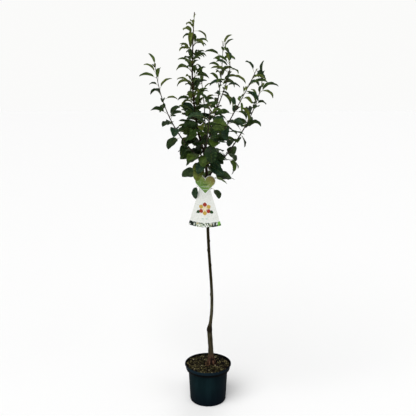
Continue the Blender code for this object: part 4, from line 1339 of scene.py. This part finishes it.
def makeSoil():
    form = soilForm
    top, low, radius = form["top"], form["top"] - form["depth"], form["radius"]
    profile = [(0, top)] + [(radius * i / form["rings"], top) for i in range(1, form["rings"] + 1)]
    profile += [(radius - form["taper"], low), (0, low)]
    verts, faces = turned(profile, form["segments"])
    for v in verts:
        if v.z > low + form["depth"] / 2 and v.xy.length < radius * form["flatFrom"]:
            v.z += form["relief"] * (noise.noise(v * form["grain"]) - form["sunk"])
    look = mottledMaterial("compost", form["roughness"], form["colours"], soilFinish)
    makePiece("soilBed", newStore(verts, faces), [look], ["soil"], sharpAngle=40)


def chipGuide():  # a flat ring on the compost, open round the trunk's foot
    inner, outer = chipForm["ring"]
    count = chipForm["ringSides"]
    middle = trunkCentre(trunkForm["foot"])
    spots = [Vector((middle.x, middle.y, 0)) + level(angle) * inner for angle in turns(count)]
    spots += [level(angle) * outer for angle in turns(count)]
    guide = bpy.data.meshes.new("chipPlaces")
    guide.from_pydata([(x, y, chipForm["layer"][0]) for x, y, _ in spots], [], ringBand(0, count, count))
    return guide


def addCompare(tree, operation, value, limit):
    return addNode(tree, "FunctionNodeCompare", {"A": value, "B": limit}, "Result", operation=operation)


def addVectorStep(tree, operation, value, other, output="Vector"):
    return addNode(tree, "ShaderNodeVectorMath", {0: value, 1: other}, output, operation=operation)


def heapChips(tree, inputs):  # chips strewn through the layer, each with a random tone
    form = chipForm
    low, high = form["layer"]
    tilt = form["tilt"]
    spread = addSpread(tree, inputs["Geometry"], inputs["Density"], inputs["Seed"])
    rise = randomVector(tree, (0, 0, 0), (0, 0, high - low), form["heapSeed"])
    box = {"Size": inputs["Size"], "Vertices X": form["cuts"][0], "Vertices Y": form["cuts"][1]}
    chip = addNode(tree, "GeometryNodeMeshCube", box, "Mesh")
    turn = randomVector(tree, (-tilt, -tilt, 0), (tilt, tilt, 2 * math.pi), form["turnSeed"])
    size = randomVector(tree, *form["scales"], form["scaleSeed"])
    laid = addInstances(tree, addMove(tree, spread["Points"], rise), chip, turn, size)
    tone = addNode(tree, "FunctionNodeRandomValue", {"Seed": form["toneSeed"]}, "Value")
    note = {"Geometry": laid, "Name": "tone", "Value": tone}
    toned = addNode(tree, "GeometryNodeStoreNamedAttribute", note, "Geometry", domain="INSTANCE")
    grain = addNode(tree, "ShaderNodeTexNoise", {"Scale": form["grain"]}, "Color")
    middled = addVectorStep(tree, "SUBTRACT", grain, (0.5, 0.5, 0.5))
    spoilt = addVectorStep(tree, "MULTIPLY", middled, [2 * form["rough"]] * 3)
    return addMove(tree, addRealize(tree, toned), spoilt)


def chipTree(looks):
    form = chipForm
    tree, inputs, outputs = newTree("chips", Density="Float", Size="Vector", Seed="Int")
    chips = heapChips(tree, inputs)
    tone = addReading(tree, "tone")
    spot = addNode(tree, "GeometryNodeInputPosition", output="Position")
    places = {  # looks that belong to a place: its middle, reach and share of chips
        "chipRed": (tuple(trunkCentre(trunkForm["foot"])), form["footReach"], form["footShare"]),
        # chips near the spot right of the trunk are painted dark as shade
        "chipShade": (form["shadeSpot"], form["shadeSpotReach"], form["shadeSpotShare"]),
    }
    for name, look in looks.items():
        if name in places:
            middle, reach, share = places[name]
            away = addVectorStep(tree, "DISTANCE", spot, middle, "Value")
            near, odd = addCompare(tree, "LESS_THAN", away, reach), addCompare(tree, "LESS_THAN", tone, share)
            chosen = addNode(tree, "FunctionNodeBooleanMath", {0: near, 1: odd}, "Boolean")
        else:
            limit = chipLooks[name][0]
            chosen = addCompare(tree, "GREATER_THAN", tone, limit) if limit else True
        chips = addDress(tree, chips, look, chosen)
    feed(tree, outputs["Geometry"], chips)
    return tree


def makeChips():
    form = chipForm
    looks = {}
    for name, (_, *colours) in chipLooks.items():
        looks[name] = mottledMaterial(name, form["roughness"], colours, chipFinish)
    settings = {"Density": form["density"], "Size": form["size"], "Seed": form["seed"]}
    mesh = runTree("chips", chipGuide(), chipTree(looks), settings)
    placePiece("chips", mesh, sharpAngle=35)
    print("stage: chips", len(mesh.polygons), "faces")


makeSoil()
makeChips()


# Label: a printed card, slightly curled, and a flat heart over it; the design is a generic one

labelForm = {
    "turn": -10,  # round the trunk, to face a little to the left
    "bandPlace": 1.200, "bandThick": 0.001, "plateThick": 0.001,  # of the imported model's solids
    "middle": -0.016, "apex": 1.273, "radii": (0.062, 0.299), "halfAngle": 17.0, "thick": 0.0006,
    "rows": 26, "columns": 22, "curl": 0.0055, "dip": 0.0016,
    "plate": 0.00025, "inkLift": 0.00002,  # of each printed shape that stands on the card
    "spotGap": 0.021, "spotHeight": 1.020, "spotSize": (0.0068, 0.0030),
    "roughness": 0.5, "specular": 0.15, "inkRoughness": 0.45, "inkSpecular": 0.15,
}
heartForm = {
    "middle": -0.0125, "tip": 1.148, "lobeRadius": 0.0283, "lobeX": 0.0258, "lobeZ": 0.0722, "arcSteps": 16,
    "fan": 0.045, "border": 0.0026, "back": 0.0002, "thick": 0.0007, "faceRise": 0.00015, "faceSunk": 0.0001,
    "rules": (  # height, width and depth of each printed rule, and its finish
        (1.175, 0.030, 0.0012, 2), (1.190, 0.046, 0.0012, 2), (1.202, 0.024, 0.0025, 3),
    ),
    "ruleThick": 0.0001, "roughness": 0.42, "specular": 0.18,
}
rosette = {
    "middle": (-0.015, 1.073), "petals": 6, "petalReach": (0.0100, 0.0350), "petalHalf": 0.0112,
    "petalPower": 0.85, "petalSteps": 14, "centre": 0.0145, "roundSteps": 18,
    "seeds": 7, "seedRadius": 0.0012, "seedRing": 0.0088, "seedSteps": 8,
    "leafAngles": (204, 336), "leafReach": (0.026, 0.050), "leafHalf": 0.0085,
}
labelInk = {
    "inkRed": (0.300, 0.034, 0.020), "inkAmber": (0.480, 0.320, 0.060), "inkCream": (0.740, 0.670, 0.470),
    "inkSeed": (0.110, 0.050, 0.020), "inkGreen": (0.016, 0.050, 0.014), "inkSea": (0.430, 0.560, 0.500),
    "inkWhite": (0.780, 0.800, 0.770), "inkDark": (0.022, 0.050, 0.018),
}
cardLook = {  # pale with faint specks, and a mosaic band at its foot
    "specks": {
        "colour": (0.735, 0.750, 0.712), "patch": (0.500, 0.540, 0.490), "scale": 230, "stretch": 1,
        "edge": (0.50, 0.70),
    },
    "warm": {"patch": (0.660, 0.590, 0.570), "scale": 170, "stretch": 1, "edge": (0.58, 0.74)},
    "tileScale": 170, "mosaicDepth": 0.024, "mosaicEdge": 0.0005,
    "tiles": (  # share of the tiles, and their colour
        (0.00, (0.010, 0.020, 0.010)), (0.20, (0.120, 0.150, 0.085)), (0.32, (0.640, 0.680, 0.610)),
        (0.58, (0.330, 0.400, 0.270)), (0.72, (0.720, 0.730, 0.700)), (0.90, (0.420, 0.300, 0.170)),
        (1.00, (0.150, 0.060, 0.040)),
    ),
    "blots": {
        "colour": (0.005, 0.011, 0.007), "patch": (0.560, 0.600, 0.540), "scale": 75, "stretch": 1,
        "edge": (0.57, 0.60),
    },
    "leafy": {
        "colour": (0.150, 0.360, 0.050), "patch": (0.010, 0.022, 0.010), "scale": 90, "stretch": 1,
        "edge": (0.56, 0.60),
    },
    "stretches": ((-0.046, -0.049, "blots"), (0.036, 0.038, "blots"), (0.066, 0.068, "leafy")),
}
heartLook = {  # bright green lower left, over yellow-green to olive upper right
    "slope": 1.1, "reach": 0.125,
    "ramp": (
        (0.00, (0.100, 0.230, 0.045)), (0.35, (0.150, 0.260, 0.050)), (0.60, (0.220, 0.280, 0.070)),
        (0.80, (0.240, 0.235, 0.055)), (1.00, (0.185, 0.150, 0.035)),
    ),
    "glints": {"patch": (0.400, 0.480, 0.260), "scale": 120, "stretch": 1, "edge": (0.54, 0.80)},
}


def cardFront():  # the front planes of the two plates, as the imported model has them
    form = labelForm
    band = trunkCentre(form["bandPlace"]).y - trunkRadius(form["bandPlace"], 0) - gap - form["bandThick"]
    return band - gap - form["plateThick"], band - 2 * (gap + form["plateThick"])


def addTurned(store, shape, kind=0):  # adds a shape of the flat label, turned round the trunk with it
    middle = trunkCentre(labelForm["bandPlace"])
    turn = Matrix.Rotation(math.radians(labelForm["turn"]), 3, "Z")
    verts, faces = shape
    addShape(store, [middle + turn @ (v - middle) for v in verts], faces, kind)


def cardCurl(x, z, front):  # where the card's front is, curled back from its front plane
    form = labelForm
    across = (x - form["middle"]) / (form["radii"][1] * math.sin(math.radians(form["halfAngle"])))
    down = (form["apex"] - z) / form["radii"][1]
    return front + form["curl"] * across * across * down + form["dip"] * down * (1 - down)


def slabShape(spots, faces, edge, depths):  # the spots at two depths, and a wall along their edge
    verts = [Vector((x, y + depth, z)) for depth in depths for x, y, z in spots]
    layer = len(spots)
    back = [[layer + i for i in face[::-1]] for face in faces]
    wall = [[a, b, layer + b, layer + a] for a, b in zip(edge, edge[1:] + edge[:1])]
    return verts, faces + back + wall


def cardShape(front):
    form = labelForm
    rows, columns = form["rows"], form["columns"]
    width = columns + 1
    spots = []
    for i in range(rows + 1):
        radius = mix(form["radii"], i / rows)
        for k in range(width):
            angle = math.radians(form["halfAngle"]) * (2 * k / columns - 1)
            x, z = form["middle"] + radius * math.sin(angle), form["apex"] - radius * math.cos(angle)
            spots.append((x, cardCurl(x, z, front), z))
    edge = list(range(columns)) + [i * width + columns for i in range(rows)]
    edge += [rows * width + k for k in range(columns, 0, -1)] + [i * width for i in range(rows, 0, -1)]
    return slabShape(spots, gridFaces(rows + 1, width), edge, (0, form["thick"]))


def plateShape(outline, lift, thick):  # a fan of rings that follows the surface under it
    middle = Vector((sum(x for x, _ in outline), sum(z for _, z in outline))) / len(outline)
    places = [middle] + [middle.lerp(Vector(place), share) for share in (0.5, 1) for place in outline]
    count = len(outline)
    faces = []
    for i, n in around(count):
        faces += [[0, 1 + i, 1 + n], [1 + i, 1 + count + i, 1 + count + n, 1 + n]]
    spots = [(at.x, lift(at.x, at.y), at.y) for at in places]
    return slabShape(spots, faces, list(range(1 + count, 1 + 2 * count)), (-thick, 0))


def roundOutline(x, z, wide, high, steps):
    return [(x + wide * math.cos(turn), z + high * math.sin(turn)) for turn in turns(steps)]


def petalOutline(angle, reach, half):  # pointed at both ends
    form = rosette
    x, z = form["middle"]
    ahead = Vector((math.cos(angle), math.sin(angle)))
    beside = Vector((-ahead.y, ahead.x))
    points = []
    for side in (1, -1):
        for i in range(form["petalSteps"]):
            share = i / form["petalSteps"] if side > 0 else 1 - i / form["petalSteps"]
            out = beside * side * half * math.sin(math.pi * share) ** form["petalPower"]
            at = ahead * mix(reach, share) + out
            points.append((x + at.x, z + at.y))
    return points


def boxOutline(x, z, wide, high):
    left, right, low, top = x - wide / 2, x + wide / 2, z - high / 2, z + high / 2
    return [(left, low), (right, low), (right, top), (left, top)]


def cardPrints():  # ink and outline of each printed shape
    form = rosette
    x, z = form["middle"]
    prints = []
    for degrees in form["leafAngles"]:
        prints.append(("inkGreen", petalOutline(math.radians(degrees), form["leafReach"], form["leafHalf"])))
    for i, turn in enumerate(turns(form["petals"])):
        ink = "inkAmber" if i % 2 else "inkRed"
        prints.append((ink, petalOutline(math.pi / 2 + turn, form["petalReach"], form["petalHalf"])))
    prints.append(("inkCream", roundOutline(x, z, form["centre"], form["centre"], form["roundSteps"])))
    for side in (-0.5, 0.5):  # a spot on each side, half the gap from the middle
        spot = (labelForm["middle"] + side * labelForm["spotGap"], labelForm["spotHeight"])
        prints.append(("inkSea", roundOutline(*spot, *labelForm["spotSize"], form["roundSteps"])))
    return prints


def seedPrints():  # the seeds on the rosette's centre
    form = rosette
    x, z = form["middle"]
    ring = [(x + form["seedRing"] * math.cos(turn), z + form["seedRing"] * math.sin(turn))
            for turn in turns(form["seeds"])]
    size = (form["seedRadius"], form["seedRadius"], form["seedSteps"])
    return [("inkSeed", roundOutline(*spot, *size)) for spot in [(x, z)] + ring]


def heartOutline(inset):  # two arcs and the straight lines down to the tip
    form = heartForm
    radius, x, z = form["lobeRadius"] - inset, form["lobeX"], form["lobeZ"]
    tip = inset / math.sin(math.atan2(form["lobeRadius"], math.hypot(x, z)))
    far = math.hypot(x, z - tip)
    meet = math.atan2(z - tip, x) - math.pi + math.acos(min(1, radius / far))
    notch = math.acos(-x / radius) if radius > x else math.pi
    half = []
    for i in range(form["arcSteps"] + 1):
        angle = mix((meet, notch), i / form["arcSteps"])
        half.append((x + radius * math.cos(angle), z + radius * math.sin(angle)))
    half[-1] = (0.0, half[-1][1])
    mirrored = [(-x, z) for x, z in half[-2::-1]]
    return [(form["middle"] + x, form["tip"] + z) for x, z in [(0.0, tip)] + half + mirrored]


def heartShape(inset, front, thick):  # a fan from a point on the heart's axis
    form = heartForm
    outline = heartOutline(inset)
    count = len(outline)
    spots = [(x, front, z) for x, z in [(form["middle"], form["tip"] + form["fan"])] + outline]
    faces = [[0, 1 + i, 1 + n] for i, n in around(count)]
    return slabShape(spots, faces, list(range(1, 1 + count)), (0, thick))


def cardMaterial():
    form, card = cardLook, labelForm
    look = newMaterial("labelCard", card["roughness"], card["specular"])
    tree = look.node_tree
    axes = objectAxes(tree, (card["middle"], 0, card["apex"]))
    flat, far = flatPart(tree, axes, "XZ")
    cells = addNode(tree, "ShaderNodeTexVoronoi", {"Scale": form["tileScale"], "Vector": flat}, "Color")
    pick = addNode(tree, "ShaderNodeSeparateXYZ", {"Vector": cells}, "X")
    tiles = addRamp(tree, pick, form["tiles"], soft=False)
    patches = {name: addMottle(tree, **form[name]) for name in ("blots", "leafy")}
    for start, end, name in form["stretches"]:  # outward from start the patches take the tiles' place
        tiles = addBlend(tree, addRange(tree, axes["X"], start, end), tiles, patches[name])
    edge = card["radii"][1] - form["mosaicDepth"]
    low = addRange(tree, far, edge - form["mosaicEdge"], edge + form["mosaicEdge"])
    plain = addMottle(tree, addMottle(tree, **form["specks"]), **form["warm"])
    paint(look, addBlend(tree, low, plain, tiles))
    return look


def heartMaterial():
    form, heart = heartLook, heartForm
    look = newMaterial("heartFace", heart["roughness"], heart["specular"])
    tree = look.node_tree
    axes = objectAxes(tree, (heart["middle"], 0, heart["tip"]))
    slope = {0: axes["X"], 1: form["slope"], 2: axes["Z"]}
    lean = addNode(tree, "ShaderNodeMath", slope, "Value", operation="MULTIPLY_ADD")
    green = addRamp(tree, addRange(tree, lean, 0.0, form["reach"]), form["ramp"])
    paint(look, addMottle(tree, green, **form["glints"]))
    return look


def makeCard(front, inks):
    form = labelForm
    plate, lift = form["plate"], form["inkLift"]
    onCard = lambda x, z: cardCurl(x, z, front) - lift
    onCentre = lambda x, z: onCard(x, z) - plate - lift
    store = newStore()
    addTurned(store, cardShape(front))
    for under, prints in ((onCard, cardPrints()), (onCentre, seedPrints())):
        for ink, outline in prints:
            addTurned(store, plateShape(outline, under, plate), 1 + list(inks).index(ink))
    makePiece("card", store, [cardMaterial(), *inks.values()], ["label_card"], sharpAngle=30)


def makeHeart(front, inks):
    form = heartForm
    back = front + form["back"]
    face = back - form["faceRise"]
    store = newStore()
    addTurned(store, heartShape(0.0, back, form["thick"]))
    addTurned(store, heartShape(form["border"], face, form["faceRise"] + form["faceSunk"]), kind=1)
    onFace = lambda x, z: face - labelForm["inkLift"]
    for z, wide, high, kind in form["rules"]:
        outline = boxOutline(form["middle"], z, wide, high)
        addTurned(store, plateShape(outline, onFace, form["ruleThick"]), kind)
    looks = [inks["inkWhite"], heartMaterial(), inks["inkWhite"], inks["inkDark"]]
    makePiece("heart", store, looks, ["label_heart"], sharpAngle=30)


def makeLabel():
    inks = {}
    for name, colour in labelInk.items():
        inks[name] = newMaterial(name, labelForm["inkRoughness"], labelForm["inkSpecular"], colour)
    front, heartFront = cardFront()
    makeCard(front, inks)
    makeHeart(heartFront, inks)
    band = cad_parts["label_band"].data
    band.materials.clear()
    band.materials.append(inks["inkWhite"])


makeLabel()
print("stage: label")


# Camera, floor and light: plain and pale, soft from the front left and above

cameraPlace = {  # at the photo's angle, a little over the pot and looking down on it
    "height": 1.60, "away": 2.87, "tiltDown": 10.34, "focalPixels": 557, "framePixels": 416, "sensor": 36,
}
lightForm = {
    "lamps": {  # where each shines from, its width in degrees, its strength
        "key": ((-1.2, -2.3, 3.6), 55, 2.6),
        "fill": ((2.4, -1.6, 2.2), 40, 0.40),
        "back": ((0.8, 2.4, 2.8), 40, 0.40),
    },
    "floorSize": 400, "floorColour": (0.88, 0.88, 0.88), "floorRoughness": 0.8,
    "sky": (0.99, 0.99, 0.98), "skyLight": 0.30, "skySeen": 0.97,  # lights the plant less than it shows
}


def makeCamera(place):
    camera = bpy.data.cameras.new("camera")
    camera.sensor_width = place["sensor"]
    camera.lens = camera.sensor_width * place["focalPixels"] / place["framePixels"]
    rig = addObject("camera", camera)
    rig.location = (0, -place["away"], place["height"])
    rig.rotation_euler = (math.radians(90 - place["tiltDown"]), 0, 0)
    bpy.context.scene.camera = rig


def makeFloor(form):
    mesh = bpy.data.meshes.new("floor")
    corners = boxOutline(0, 0, form["floorSize"], form["floorSize"])
    mesh.from_pydata([(x, y, 0) for x, y in corners], [], [[0, 1, 2, 3]])
    mesh.materials.append(newMaterial("floor", form["floorRoughness"], colour=form["floorColour"]))
    floor = addObject("floor", mesh)


def makeLamps(form):
    for name, (place, width, strength) in form["lamps"].items():
        lamp = bpy.data.lights.new(name, "SUN")
        lamp.angle = math.radians(width)
        lamp.energy = strength
        rig = addObject(name, lamp)
        rig.location = place
        rig.rotation_euler = Vector(place).to_track_quat("Z", "Y").to_euler()


def makeSky(form):
    world = bpy.data.worlds.new("studio")
    world.use_nodes = True
    tree = world.node_tree
    sky = tree.nodes["Background"]
    seen = addNode(tree, "ShaderNodeLightPath", output="Is Camera Ray")
    light = {"Value": seen, "To Min": form["skyLight"], "To Max": form["skySeen"]}
    feed(tree, sky.inputs["Color"], form["sky"])
    feed(tree, sky.inputs["Strength"], addNode(tree, "ShaderNodeMapRange", light, "Result"))
    bpy.context.scene.world = world
    bpy.context.scene.view_settings.view_transform = "Standard"


makeCamera(cameraPlace)
makeFloor(lightForm)
makeLamps(lightForm)
makeSky(lightForm)
